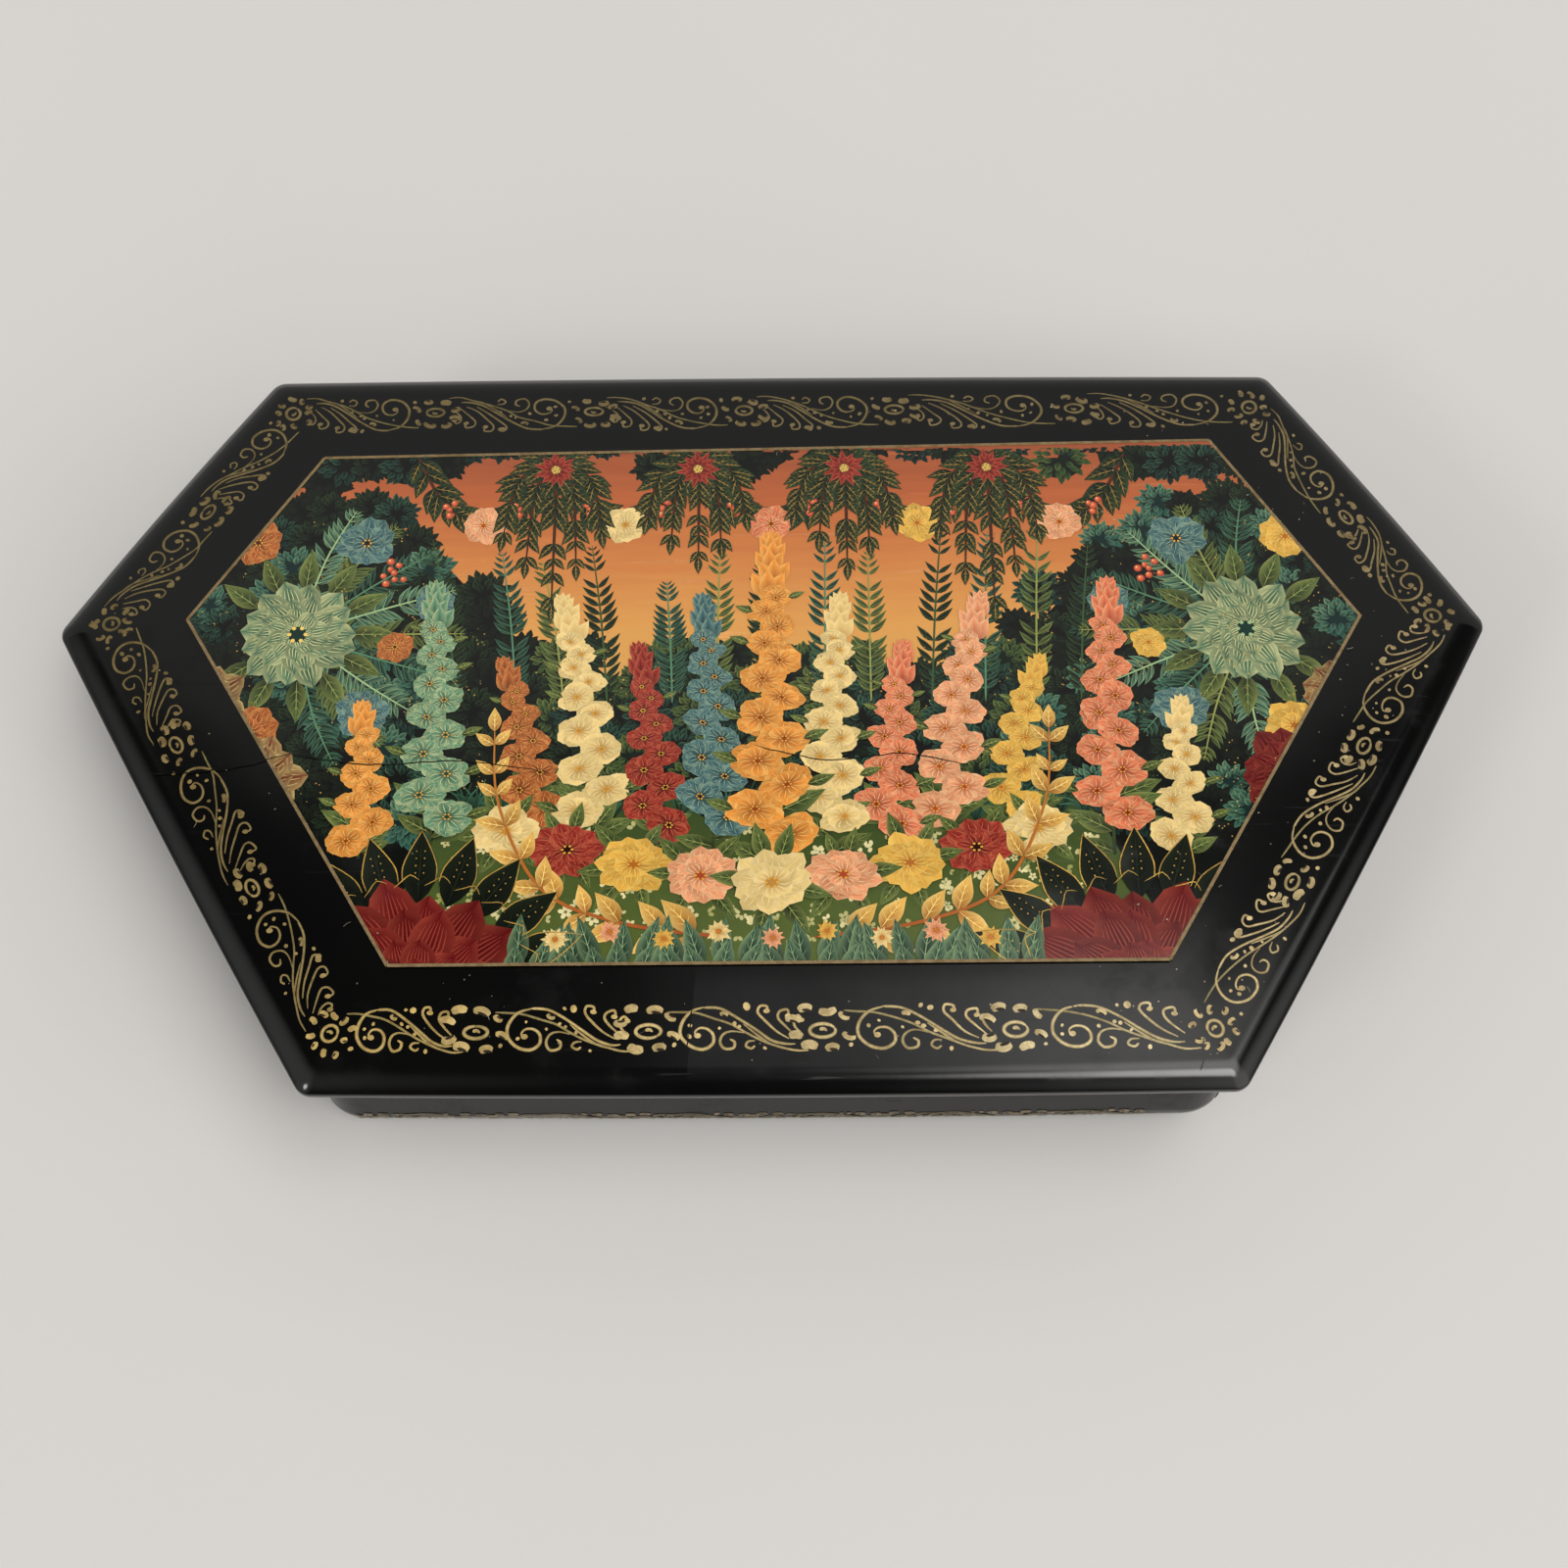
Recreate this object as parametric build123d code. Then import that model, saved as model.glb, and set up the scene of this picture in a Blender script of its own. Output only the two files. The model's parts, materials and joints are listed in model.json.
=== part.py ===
from build123d import *
import math
import os

# A lacquered papier-mache box with six sides, a wide back and a narrower front.
# Millimetres, +Z up, origin under the middle of the box, X along the length, front at -Y.

# Plan of the lid, measured to its corners before they are rounded
LENGTH = 180.4
BACK_SIDE = 132.0
FRONT_SIDE = 108.7
DEPTH = 99.8
TIP_FROM_BACK = 38.5
SIDE_BOW = 0.35
LID_CORNER_RADIUS = 2.2

# Heights
HEIGHT = 25.2
BOTTOM_THICKNESS = 3.2
LID_THICKNESS = 3.4
SEAT_GAP = 0.05

# The lid's edge: a wide roll whose circle would run past the edge, a tight arris, a small roll below
TOP_ROLL = 4.9
ROLL_PAST_EDGE = 1.4
ARRIS_ROLL = 0.5
UNDER_ROLL = 1.0

# Body
BODY_INSET = 2.8
BODY_CORNER_RADIUS = 5.0
WALL_THICKNESS = 4.2
FOOT_ROLL = 8.0
INSIDE_CORNER_RADIUS = 2.0

# Closing frame under the lid, which drops inside the walls
FRAME_CLEARANCE = 0.4
FRAME_WIDTH = 3.2
FRAME_DROP = 2.4
FRAME_EDGE = 0.5

# Two butt hinges at the back
HINGE_FROM_MIDDLE = 38.0
HINGE_WIDTH = 18.0
KNUCKLE_RADIUS = 1.2
KNUCKLE_GAP = 0.2
KNUCKLES = 3
PIN_RADIUS = 0.6
PIN_CLEARANCE = 0.05
PIN_HEAD_LENGTH = 0.35
PIN_HEAD_RADIUS = 0.85
LEAF_THICKNESS = 0.6
LEAF_REACH = 3.5
BARREL_STANDS_OFF = 0.9
BARREL_NOTCH_CLEARANCE = 0.15
BRAD_FROM_HINGE_MIDDLE = 6.2
BRAD_SHANK_RADIUS = 0.4
BRAD_HEAD_RADIUS = 0.75
BRAD_HEAD_HEIGHT = 0.3
BRAD_LENGTH = 2.0

# Worked out from the sizes above
LID_UNDERSIDE = HEIGHT - LID_THICKNESS
WALL_TOP = LID_UNDERSIDE - SEAT_GAP
JOINT_PLANE = (LID_UNDERSIDE + WALL_TOP) / 2
WALL_BACK = DEPTH / 2 - BODY_INSET + SIDE_BOW * (1 - (2 * HINGE_FROM_MIDDLE / BACK_SIDE) ** 2)
HINGE_Y = WALL_BACK + BARREL_STANDS_OFF
KNUCKLE_LENGTH = (HINGE_WIDTH - (KNUCKLES - 1) * KNUCKLE_GAP) / KNUCKLES
LEAF_BACK = HINGE_Y - PIN_RADIUS - 2 * PIN_CLEARANCE
LEAF_FRONT = WALL_BACK - LEAF_REACH
BRAD_Y = (LEAF_FRONT + WALL_BACK) / 2


def plan_corners():
    """The six corners of the lid's plan, anticlockwise from the right tip."""
    tip_y = DEPTH / 2 - TIP_FROM_BACK
    return [
        Vector(LENGTH / 2, tip_y),
        Vector(BACK_SIDE / 2, DEPTH / 2),
        Vector(-BACK_SIDE / 2, DEPTH / 2),
        Vector(-LENGTH / 2, tip_y),
        Vector(-FRONT_SIDE / 2, -DEPTH / 2),
        Vector(FRONT_SIDE / 2, -DEPTH / 2),
    ]


def inset_corners(inset):
    """The same corners after every side has moved inwards by the inset."""
    corners = plan_corners()
    moved = []
    for index, corner in enumerate(corners):
        before = (corner - corners[index - 1]).normalized()
        after = (corners[(index + 1) % 6] - corner).normalized()
        half_turn = math.radians(before.get_angle(after)) / 2
        inwards = (after - before).normalized()
        moved.append(corner + inwards * (inset / math.cos(half_turn)))
    return moved


def plan_face(inset, corner_radius):
    """A flat face of the plan at an inset, with slightly bowed sides and rounded corners."""
    corners = inset_corners(inset)
    sides = []
    for index, start in enumerate(corners):
        end = corners[(index + 1) % 6]
        along = (end - start).normalized()
        outwards = Vector(along.Y, -along.X)
        sides.append(ThreePointArc(start, (start + end) / 2 + outwards * SIDE_BOW, end))
    face = make_face(sides)
    return fillet(face.vertices(), corner_radius)


def plan_slab(inset, corner_radius, low, high):
    """The plan at an inset, between two heights."""
    return Pos(0, 0, low) * extrude(plan_face(inset, corner_radius), high - low)


def rod(radius, x_from, x_to, y, z):
    """A round rod along X."""
    place = Plane(origin=(x_from, y, z), z_dir=(1, 0, 0))
    return place * extrude(Circle(radius), x_to - x_from)


def block(x_range, y_range, z_range):
    """A block between pairs of limits."""
    sizes = [high - low for low, high in (x_range, y_range, z_range)]
    middle = [(high + low) / 2 for low, high in (x_range, y_range, z_range)]
    return Pos(*middle) * Box(*sizes)


def knuckle_span(hinge_x, index):
    """Where a knuckle starts and ends along X."""
    start = hinge_x - HINGE_WIDTH / 2 + index * (KNUCKLE_LENGTH + KNUCKLE_GAP)
    return start, start + KNUCKLE_LENGTH


def barrel_notch(hinge_x):
    """The room cut for a hinge's barrel and its pin heads."""
    end = HINGE_WIDTH / 2 + PIN_HEAD_LENGTH + KNUCKLE_GAP
    radius = KNUCKLE_RADIUS + BARREL_NOTCH_CLEARANCE
    return rod(radius, hinge_x - end, hinge_x + end, HINGE_Y, JOINT_PLANE)


def brad(x, head_face, way):
    """A brad with its head's face at a height, driven down (-1) or up (1)."""
    turned = Rotation(0 if way > 0 else 180, 0, 0)
    head = Cylinder(BRAD_HEAD_RADIUS, BRAD_HEAD_HEIGHT, align=(Align.CENTER, Align.CENTER, Align.MIN))
    shank = Cylinder(BRAD_SHANK_RADIUS, BRAD_LENGTH, align=(Align.CENTER, Align.CENTER, Align.MIN))
    point = Pos(0, 0, BRAD_LENGTH) * Cone(
        BRAD_SHANK_RADIUS, 0.1, BRAD_SHANK_RADIUS * 1.5, align=(Align.CENTER, Align.CENTER, Align.MIN)
    )
    return Pos(x, BRAD_Y, head_face) * turned * (head + shank + point)


def brads(head_face, way):
    """All the brads of one pair of leaves."""
    places = []
    for hinge_x in (-HINGE_FROM_MIDDLE, HINGE_FROM_MIDDLE):
        places += [hinge_x - BRAD_FROM_HINGE_MIDDLE, hinge_x + BRAD_FROM_HINGE_MIDDLE]
    return [brad(x, head_face, way) for x in places]


def leaf(hinge_x, z_range, knuckle_indices, bore_radius):
    """A hinge leaf with its knuckles rolled at the back."""
    half = HINGE_WIDTH / 2
    plate = block((hinge_x - half, hinge_x + half), (LEAF_FRONT, LEAF_BACK), z_range)
    clear_radius = KNUCKLE_RADIUS + BARREL_NOTCH_CLEARANCE
    for index in range(KNUCKLES):
        if index not in knuckle_indices:
            start, end = knuckle_span(hinge_x, index)
            plate -= rod(clear_radius, start - KNUCKLE_GAP, end + KNUCKLE_GAP, HINGE_Y, JOINT_PLANE)
    for index in knuckle_indices:
        start, end = knuckle_span(hinge_x, index)
        plate += rod(KNUCKLE_RADIUS, start, end, HINGE_Y, JOINT_PLANE)
    return plate - rod(bore_radius, hinge_x - half, hinge_x + half, HINGE_Y, JOINT_PLANE)


def body_leaf(hinge_x):
    """The leaf let into the top of the back wall, with the two outer knuckles."""
    shape = leaf(hinge_x, (WALL_TOP - LEAF_THICKNESS, WALL_TOP), (0, 2), PIN_RADIUS)
    for nail in brads(WALL_TOP, -1):
        shape -= nail
    return shape


def lid_leaf(hinge_x):
    """The leaf let into the underside of the lid, with the middle knuckle."""
    shape = leaf(hinge_x, (LID_UNDERSIDE, LID_UNDERSIDE + LEAF_THICKNESS), (1,), PIN_RADIUS + PIN_CLEARANCE)
    for nail in brads(LID_UNDERSIDE, 1):
        shape -= nail
    return shape


def hinge_pin(hinge_x):
    """The wire pin through the three knuckles, with a flattened head at each end."""
    half = HINGE_WIDTH / 2
    pin = rod(PIN_RADIUS, hinge_x - half, hinge_x + half, HINGE_Y, JOINT_PLANE)
    for side in (-1, 1):
        ends = sorted((hinge_x + side * half, hinge_x + side * (half + PIN_HEAD_LENGTH)))
        pin += rod(PIN_HEAD_RADIUS, *ends, HINGE_Y, JOINT_PLANE)
    return pin


def body_shape():
    """The body as one solid block, rolled in towards its foot."""
    shape = plan_slab(BODY_INSET, BODY_CORNER_RADIUS, 0, WALL_TOP)
    return fillet(shape.faces().sort_by(Axis.Z)[0].outer_wire().edges(), FOOT_ROLL)


def body_wall():
    """The wound ring of the walls, from the bottom board to the lid's seat."""
    ring = body_shape() - plan_slab(0, LID_CORNER_RADIUS, 0, BOTTOM_THICKNESS)
    ring -= plan_slab(BODY_INSET + WALL_THICKNESS, INSIDE_CORNER_RADIUS, BOTTOM_THICKNESS, WALL_TOP)
    for hinge_x in (-HINGE_FROM_MIDDLE, HINGE_FROM_MIDDLE):
        half = HINGE_WIDTH / 2
        ring -= barrel_notch(hinge_x)
        leaf_bottom = WALL_TOP - LEAF_THICKNESS
        ring -= block((hinge_x - half, hinge_x + half), (LEAF_FRONT, HINGE_Y), (leaf_bottom, WALL_TOP))
    for nail in brads(WALL_TOP, -1):
        ring -= nail
    return ring


def bottom_board():
    """The board under the walls, which carries on their roll."""
    return body_shape() & plan_slab(0, LID_CORNER_RADIUS, 0, BOTTOM_THICKNESS)


def lid_board():
    """The overhanging board of the lid, rolled down to a tight arris all round."""
    rolled = plan_slab(-ROLL_PAST_EDGE, LID_CORNER_RADIUS + ROLL_PAST_EDGE, HEIGHT - 2 * TOP_ROLL, HEIGHT)
    rolled = fillet(rolled.faces().sort_by(Axis.Z)[-1].outer_wire().edges(), TOP_ROLL)
    board = rolled & plan_slab(0, LID_CORNER_RADIUS, LID_UNDERSIDE, HEIGHT)
    roll_end = HEIGHT - TOP_ROLL + math.sqrt(TOP_ROLL**2 - (TOP_ROLL - ROLL_PAST_EDGE) ** 2)
    board = fillet(board.edges().filter_by_position(Axis.Z, roll_end - 0.1, roll_end + 0.1), ARRIS_ROLL)
    board = fillet(board.faces().sort_by(Axis.Z)[0].outer_wire().edges(), UNDER_ROLL)
    for hinge_x in (-HINGE_FROM_MIDDLE, HINGE_FROM_MIDDLE):
        half = HINGE_WIDTH / 2
        notch = barrel_notch(hinge_x)
        room = notch.bounding_box()
        board -= notch
        board -= block((room.min.X, room.max.X), (HINGE_Y, DEPTH), (LID_UNDERSIDE, room.max.Z))
        leaf_top = LID_UNDERSIDE + LEAF_THICKNESS
        board -= block((hinge_x - half, hinge_x + half), (LEAF_FRONT, HINGE_Y), (LID_UNDERSIDE, leaf_top))
    for nail in brads(LID_UNDERSIDE, 1):
        board -= nail
    return board


def closing_frame():
    """The frame glued under the lid, which centres it in the walls."""
    outside = BODY_INSET + WALL_THICKNESS + FRAME_CLEARANCE
    low = LID_UNDERSIDE - FRAME_DROP
    frame = plan_slab(outside, INSIDE_CORNER_RADIUS, low, LID_UNDERSIDE)
    frame = chamfer(frame.faces().sort_by(Axis.Z)[0].outer_wire().edges(), FRAME_EDGE)
    return frame - plan_slab(outside + FRAME_WIDTH, INSIDE_CORNER_RADIUS, low, LID_UNDERSIDE)


def save(shape, name):
    """One file for each sub-part."""
    export_step(shape, f"parts/{name}.step")


os.makedirs("parts", exist_ok=True)
save(body_wall(), "body_wall")
save(bottom_board(), "bottom_board")
save(lid_board(), "lid_board")
save(closing_frame(), "closing_frame")
for side, place in (("left", -HINGE_FROM_MIDDLE), ("right", HINGE_FROM_MIDDLE)):
    save(body_leaf(place), f"{side}_hinge_body_leaf")
    save(lid_leaf(place), f"{side}_hinge_lid_leaf")
    save(hinge_pin(place), f"{side}_hinge_pin")
save(Compound(brads(WALL_TOP, -1)), "body_leaf_brads")
save(Compound(brads(LID_UNDERSIDE, 1)), "lid_leaf_brads")
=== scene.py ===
import json
import math
import random

import bpy
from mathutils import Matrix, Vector


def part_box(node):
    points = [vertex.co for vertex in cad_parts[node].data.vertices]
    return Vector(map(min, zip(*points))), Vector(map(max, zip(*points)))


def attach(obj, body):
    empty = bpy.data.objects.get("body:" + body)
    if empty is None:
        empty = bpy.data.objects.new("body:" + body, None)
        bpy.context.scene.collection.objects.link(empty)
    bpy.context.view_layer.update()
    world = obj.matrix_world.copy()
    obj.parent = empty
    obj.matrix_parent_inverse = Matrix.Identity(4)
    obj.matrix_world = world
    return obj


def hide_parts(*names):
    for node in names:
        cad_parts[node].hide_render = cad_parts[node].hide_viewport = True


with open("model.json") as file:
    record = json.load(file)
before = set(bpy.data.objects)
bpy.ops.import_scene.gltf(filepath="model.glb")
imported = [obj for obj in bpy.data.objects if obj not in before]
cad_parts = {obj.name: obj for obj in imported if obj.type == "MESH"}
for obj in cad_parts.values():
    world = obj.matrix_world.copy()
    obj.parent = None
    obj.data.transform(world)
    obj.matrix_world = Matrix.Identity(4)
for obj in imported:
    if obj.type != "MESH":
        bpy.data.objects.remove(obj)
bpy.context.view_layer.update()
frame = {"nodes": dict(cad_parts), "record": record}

# A black lacquered papier-mache box with six sides. Its lid is gilded and painted.
# Sizes are in millimetres, and MM makes metres of them.
# X runs along the length, the front is at -Y and the hinged back at +Y.
MM = 0.001

# Plan of the lid, to its corners before they are rounded
LENGTH = 180.4
BACK_SIDE = 132.0
FRONT_SIDE = 108.7
DEPTH = 99.8
TIP_FROM_BACK = 38.5
SIDE_BOW = 0.35

# Its rounded corners, which tighten for each millimetre inwards, and the points along each side
LID_CORNER_RADIUS = 2.2
INNER_CORNER_RADIUS = 1.2
CORNER_SHRINK = 0.3
CORNER_STEPS = 8
SIDE_STEPS = 24

# Heights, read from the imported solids
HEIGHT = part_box("lid_board")[1].z / MM
LID_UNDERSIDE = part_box("lid_board")[0].z / MM

# The lid's edge: a roll that ends in a tight arris, and a small roll below
TOP_ROLL = 4.9
ROLL_PAST_EDGE = 1.4
ROLL_START = TOP_ROLL - ROLL_PAST_EDGE
ARRIS_ROLL = 0.5
UNDER_ROLL = 1.0

# The walls under it
BODY_INSET = 2.8
WALL_THICKNESS = 4.2
WALL_BOW = 0.35
BOTTOM_THICKNESS = 3.2
FOOT_ROLL = 8.0
WALL_BAND_LIFT = 0.03
WALL_BAND_HEIGHT = 7.0
CLOSING_FRAME_INSET = 7.4
CLOSING_FRAME_WIDTH = 3.2

# How far the red lacquer runs over the inner edge of the walls and down to the bottom board
RED_PAST_WALL = 0.35
RED_PAST_FLOOR = 0.2

# The lid is a very shallow pillow: flat under the picture, lower towards the rolls
PILLOW_FROM = 13.5
PILLOW_DROP = 0.3
PILLOW_BLEND = 1.2
PILLOW_PITCH = 0.5
FLAT_RINGS = (22.0, 36.0)

# Room in the lid for the two hinges
HINGE_FROM_MIDDLE = 38.0
HINGE_WIDTH = 18.0
LEAF_THICKNESS = 0.6
LEAF_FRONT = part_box("left_hinge_lid_leaf")[0].y / MM
HINGE_Y, HINGE_Z = [value / MM for value in frame["record"]["behaviour"]["joints"][0]["pos_m"][1:]]
BARREL_ROOM = 1.35
BARREL_ROOM_LENGTH = 19.1

# Corners of the painted picture on the lid, anticlockwise from the right tip
PICTURE = [(74.0, 11.8), (57.3, 38.5), (-58.3, 36.6), (-73.6, 12.3), (-45.0, -34.8), (46.5, -34.6)]

# The gold border: where its rosettes stand along each side, and how far in it runs
ROSETTES = {
    "upper right": (0.46,),
    "back": (0.183, 0.371, 0.528, 0.685, 0.851),
    "upper left": (0.48,),
    "lower left": (0.315, 0.665),
    "front": (0.165, 0.36, 0.557, 0.775),
    "lower right": (0.335, 0.665),
}
SIDES = list(ROSETTES)
BORDER_INSETS = (5.7, 6.05, 5.65, 6.3, 6.9, 6.3)

# Paint films lie on each other. The stack is counted over small square cells
FILM = 0.0002
GROUND_LIFT = 0.010
PAINT_LIFT = 0.012
CELL = 0.35

# Each painter's hand is unsteady in its own way, and the same each time
BORDER_HAND, PICTURE_HAND, AGE_HAND, BAND_HAND = 11, 23, 37, 5

# The camera, fitted to the corners of the lid and the picture
CAMERA_AT = (2.48, -136.11, 276.99)
CAMERA_PITCH = math.radians(63.633)
CAMERA_YAW = math.radians(-0.454)
CAMERA_ROLL = math.radians(0.766)
CAMERA_LENS = 53.15


def srgb(red, green, blue):
    """A colour in screen values, 0 to 255, as light values."""
    light = []
    for value in (red, green, blue):
        part = value / 255
        light.append(part / 12.92 if part < 0.04045 else ((part + 0.055) / 1.055) ** 2.4)
    return tuple(light)


def mix(one, other, share):
    """A colour or point between two."""
    return tuple(a + (b - a) * share for a, b in zip(one, other))


# The plan

def lid_corners():
    """The six corners of the lid's plan, anticlockwise from the right tip."""
    tip_y = DEPTH / 2 - TIP_FROM_BACK
    return [
        Vector((LENGTH / 2, tip_y)),
        Vector((BACK_SIDE / 2, DEPTH / 2)),
        Vector((-BACK_SIDE / 2, DEPTH / 2)),
        Vector((-LENGTH / 2, tip_y)),
        Vector((-FRONT_SIDE / 2, -DEPTH / 2)),
        Vector((FRONT_SIDE / 2, -DEPTH / 2)),
    ]


def plan_sides():
    """Each side's start, direction, inward direction and length, anticlockwise."""
    corners = lid_corners()
    sides = []
    for index, start in enumerate(corners):
        end = corners[(index + 1) % 6]
        along = (end - start).normalized()
        sides.append((start, along, Vector((-along.y, along.x)), (end - start).length))
    return sides


PLAN = plan_sides()


def inset_corner(index, inset):
    """A corner of the plan after both its sides have moved inwards."""
    before, after = PLAN[index - 1], PLAN[index]
    bisector = (before[2] + after[2]).normalized()
    return after[0] + bisector * (inset / bisector.dot(after[2]))


def outline(inset, radius):
    """Points round the plan at an inset, with rounded corners and faintly bowed sides."""
    points = []
    for index in range(6):
        before, after = PLAN[index - 1], PLAN[index]
        middle = inset_corner(index, inset + radius)
        first = math.atan2(-before[2].y, -before[2].x)
        turn = (math.atan2(-after[2].y, -after[2].x) - first) % (2 * math.pi)
        for step in range(CORNER_STEPS + 1):
            angle = first + turn * step / CORNER_STEPS
            points.append((middle.x + radius * math.cos(angle), middle.y + radius * math.sin(angle)))
        start = Vector(points[-1])
        end = inset_corner((index + 1) % 6, inset + radius) - after[2] * radius
        for step in range(1, SIDE_STEPS):
            share = step / SIDE_STEPS
            bow = SIDE_BOW * 4 * share * (1 - share)
            point = start.lerp(end, share) - after[2] * bow
            points.append((point.x, point.y))
    return points


def distance_in(x, y):
    """How far a point lies inside the nearest side, rounded off near the corners."""
    total = 0.0
    for start, _, inward, _ in PLAN:
        gap = (x - start.x) * inward.x + (y - start.y) * inward.y
        total += math.exp(-gap / PILLOW_BLEND)
    return -PILLOW_BLEND * math.log(total)


def lid_height(x, y):
    """The height of the lid's polished top over a point of the plan."""
    share = (PILLOW_FROM - distance_in(x, y)) / (PILLOW_FROM - ROLL_START)
    return HEIGHT - PILLOW_DROP * min(max(share, 0.0), 1.0) ** 2


# Meshes

def make_mesh(name, points, faces, materials, smooth=True):
    """A mesh object from points in millimetres."""
    mesh = bpy.data.meshes.new(name)
    mesh.from_pydata([(x * MM, y * MM, z * MM) for x, y, z in points], [], faces)
    for material in materials:
        mesh.materials.append(material)
    mesh.polygons.foreach_set("use_smooth", [smooth] * len(mesh.polygons))
    mesh.update()
    piece = bpy.data.objects.new(name, mesh)
    bpy.context.scene.collection.objects.link(piece)
    return piece


def bridge(faces, first_ring, second_ring, count):
    """Quads between two rings of the same number of points."""
    for index in range(count):
        after = (index + 1) % count
        faces.append((first_ring + index, first_ring + after, second_ring + after, second_ring + index))


def lid_profile():
    """The lid's edge as insets and heights, from the underside to where the roll meets the top."""
    profile = [(CLOSING_FRAME_INSET + CLOSING_FRAME_WIDTH, LID_UNDERSIDE), (UNDER_ROLL + 1.0, LID_UNDERSIDE)]
    steps = 6
    for step in range(steps + 1):
        angle = math.pi / 2 * step / steps
        rise = UNDER_ROLL * (1 - math.cos(angle))
        profile.append((UNDER_ROLL * (1 - math.sin(angle)), LID_UNDERSIDE + rise))
    roll_middle = HEIGHT - PILLOW_DROP - TOP_ROLL
    meeting = math.asin(1 - ROLL_PAST_EDGE / (TOP_ROLL - ARRIS_ROLL))
    arris_middle = roll_middle + (TOP_ROLL - ARRIS_ROLL) * math.cos(meeting)
    steps = 7
    for step in range(steps + 1):
        angle = math.pi / 2 + (meeting - math.pi / 2) * step / steps
        profile.append((ARRIS_ROLL * (1 - math.sin(angle)), arris_middle + ARRIS_ROLL * math.cos(angle)))
    edge_slope = math.atan(2 * PILLOW_DROP / (PILLOW_FROM - ROLL_START))
    steps = 12
    for step in range(1, steps + 1):
        angle = meeting + (edge_slope - meeting) * step / steps
        profile.append((ROLL_START - TOP_ROLL * math.sin(angle), roll_middle + TOP_ROLL * math.cos(angle)))
    return profile


def lid_rings():
    """The lid's rings of points, from the underside round the edge to the flat top."""
    def ring(inset):
        return outline(inset, max(LID_CORNER_RADIUS - CORNER_SHRINK * inset, INNER_CORNER_RADIUS))

    rings = [[(x, y, z) for x, y in ring(inset)] for inset, z in lid_profile()]
    for step in range(math.ceil((PILLOW_FROM + 1 - ROLL_START) / PILLOW_PITCH)):
        rings.append([(x, y, lid_height(x, y)) for x, y in ring(ROLL_START + step * PILLOW_PITCH)])
    for inset in FLAT_RINGS:
        rings.append([(x, y, HEIGHT) for x, y in ring(inset)])
    return rings


def block_cutter(x_range, y_range, z_range):
    """A box-shaped cutter."""
    points = [(x, y, z) for x in x_range for y in y_range for z in z_range]
    faces = [(0, 1, 3, 2), (4, 6, 7, 5), (0, 4, 5, 1), (2, 3, 7, 6), (0, 2, 6, 4), (1, 5, 7, 3)]
    return make_mesh("block_cutter", points, faces, [])


def rod_cutter(x_middle, length, y, z, radius):
    """A round cutter along X."""
    around = 24
    points = []
    for x in (x_middle - length / 2, x_middle + length / 2):
        for step in range(around):
            angle = 2 * math.pi * step / around
            points.append((x, y + radius * math.cos(angle), z + radius * math.sin(angle)))
    faces = [tuple(range(around))[::-1], tuple(range(around, 2 * around))]
    bridge(faces, 0, around, around)
    return make_mesh("rod_cutter", points, faces, [])


def cut_away(piece, tool):
    """Cuts a tool out of a piece for good."""
    cut = piece.modifiers.new("cut", "BOOLEAN")
    cut.operation = "DIFFERENCE"
    cut.solver = "EXACT"
    cut.object = tool
    with bpy.context.temp_override(object=piece, active_object=piece):
        bpy.ops.object.modifier_apply(modifier="cut")
    bpy.data.objects.remove(tool)


def lid_slab(black, red):
    """The lid's polished slab, with a red underside inside the closing frame."""
    rings = lid_rings()
    count = len(rings[0])
    points = [point for ring in rings for point in ring]
    faces = [tuple(range(count))[::-1]]
    for index in range(len(rings) - 1):
        bridge(faces, index * count, (index + 1) * count, count)
    faces.append(tuple(range((len(rings) - 1) * count, len(rings) * count)))
    slab = make_mesh("lid_slab", points, faces, [black, red])
    slab.data.polygons[0].material_index = 1
    leaf_half, room_half = HINGE_WIDTH / 2, BARREL_ROOM_LENGTH / 2
    below = LID_UNDERSIDE - 1
    for x in (-HINGE_FROM_MIDDLE, HINGE_FROM_MIDDLE):
        leaf_room = ((x - leaf_half, x + leaf_half), (LEAF_FRONT, HINGE_Y),
                     (below, LID_UNDERSIDE + LEAF_THICKNESS))
        back_room = ((x - room_half, x + room_half), (HINGE_Y, DEPTH), (below, HINGE_Z + BARREL_ROOM))
        cut_away(slab, block_cutter(*leaf_room))
        cut_away(slab, rod_cutter(x, BARREL_ROOM_LENGTH, HINGE_Y, HINGE_Z, BARREL_ROOM))
        cut_away(slab, block_cutter(*back_room))
    slab.data.polygons.foreach_set("use_smooth", [True] * len(slab.data.polygons))
    slab.data.set_sharp_from_angle(angle=math.radians(35))
    return slab


# Paint

class Stack:
    """Remembers how many paint films lie over each small cell of a surface."""

    def __init__(self):
        self.films = {}

    def cells(self, polygon):
        """The cells under a polygon's box."""
        xs = [point[0] for point in polygon]
        ys = [point[1] for point in polygon]
        for column in range(math.floor(min(xs) / CELL), math.floor(max(xs) / CELL) + 1):
            for row in range(math.floor(min(ys) / CELL), math.floor(max(ys) / CELL) + 1):
                yield column, row

    def lay(self, polygons):
        """Lays one mark over what is there and says on which film it lies."""
        under = set()
        for polygon in polygons:
            under.update(self.cells(polygon))
        film = 1 + max((self.films.get(cell, 0) for cell in under), default=0)
        for cell in under:
            self.films[cell] = film
        return film


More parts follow.
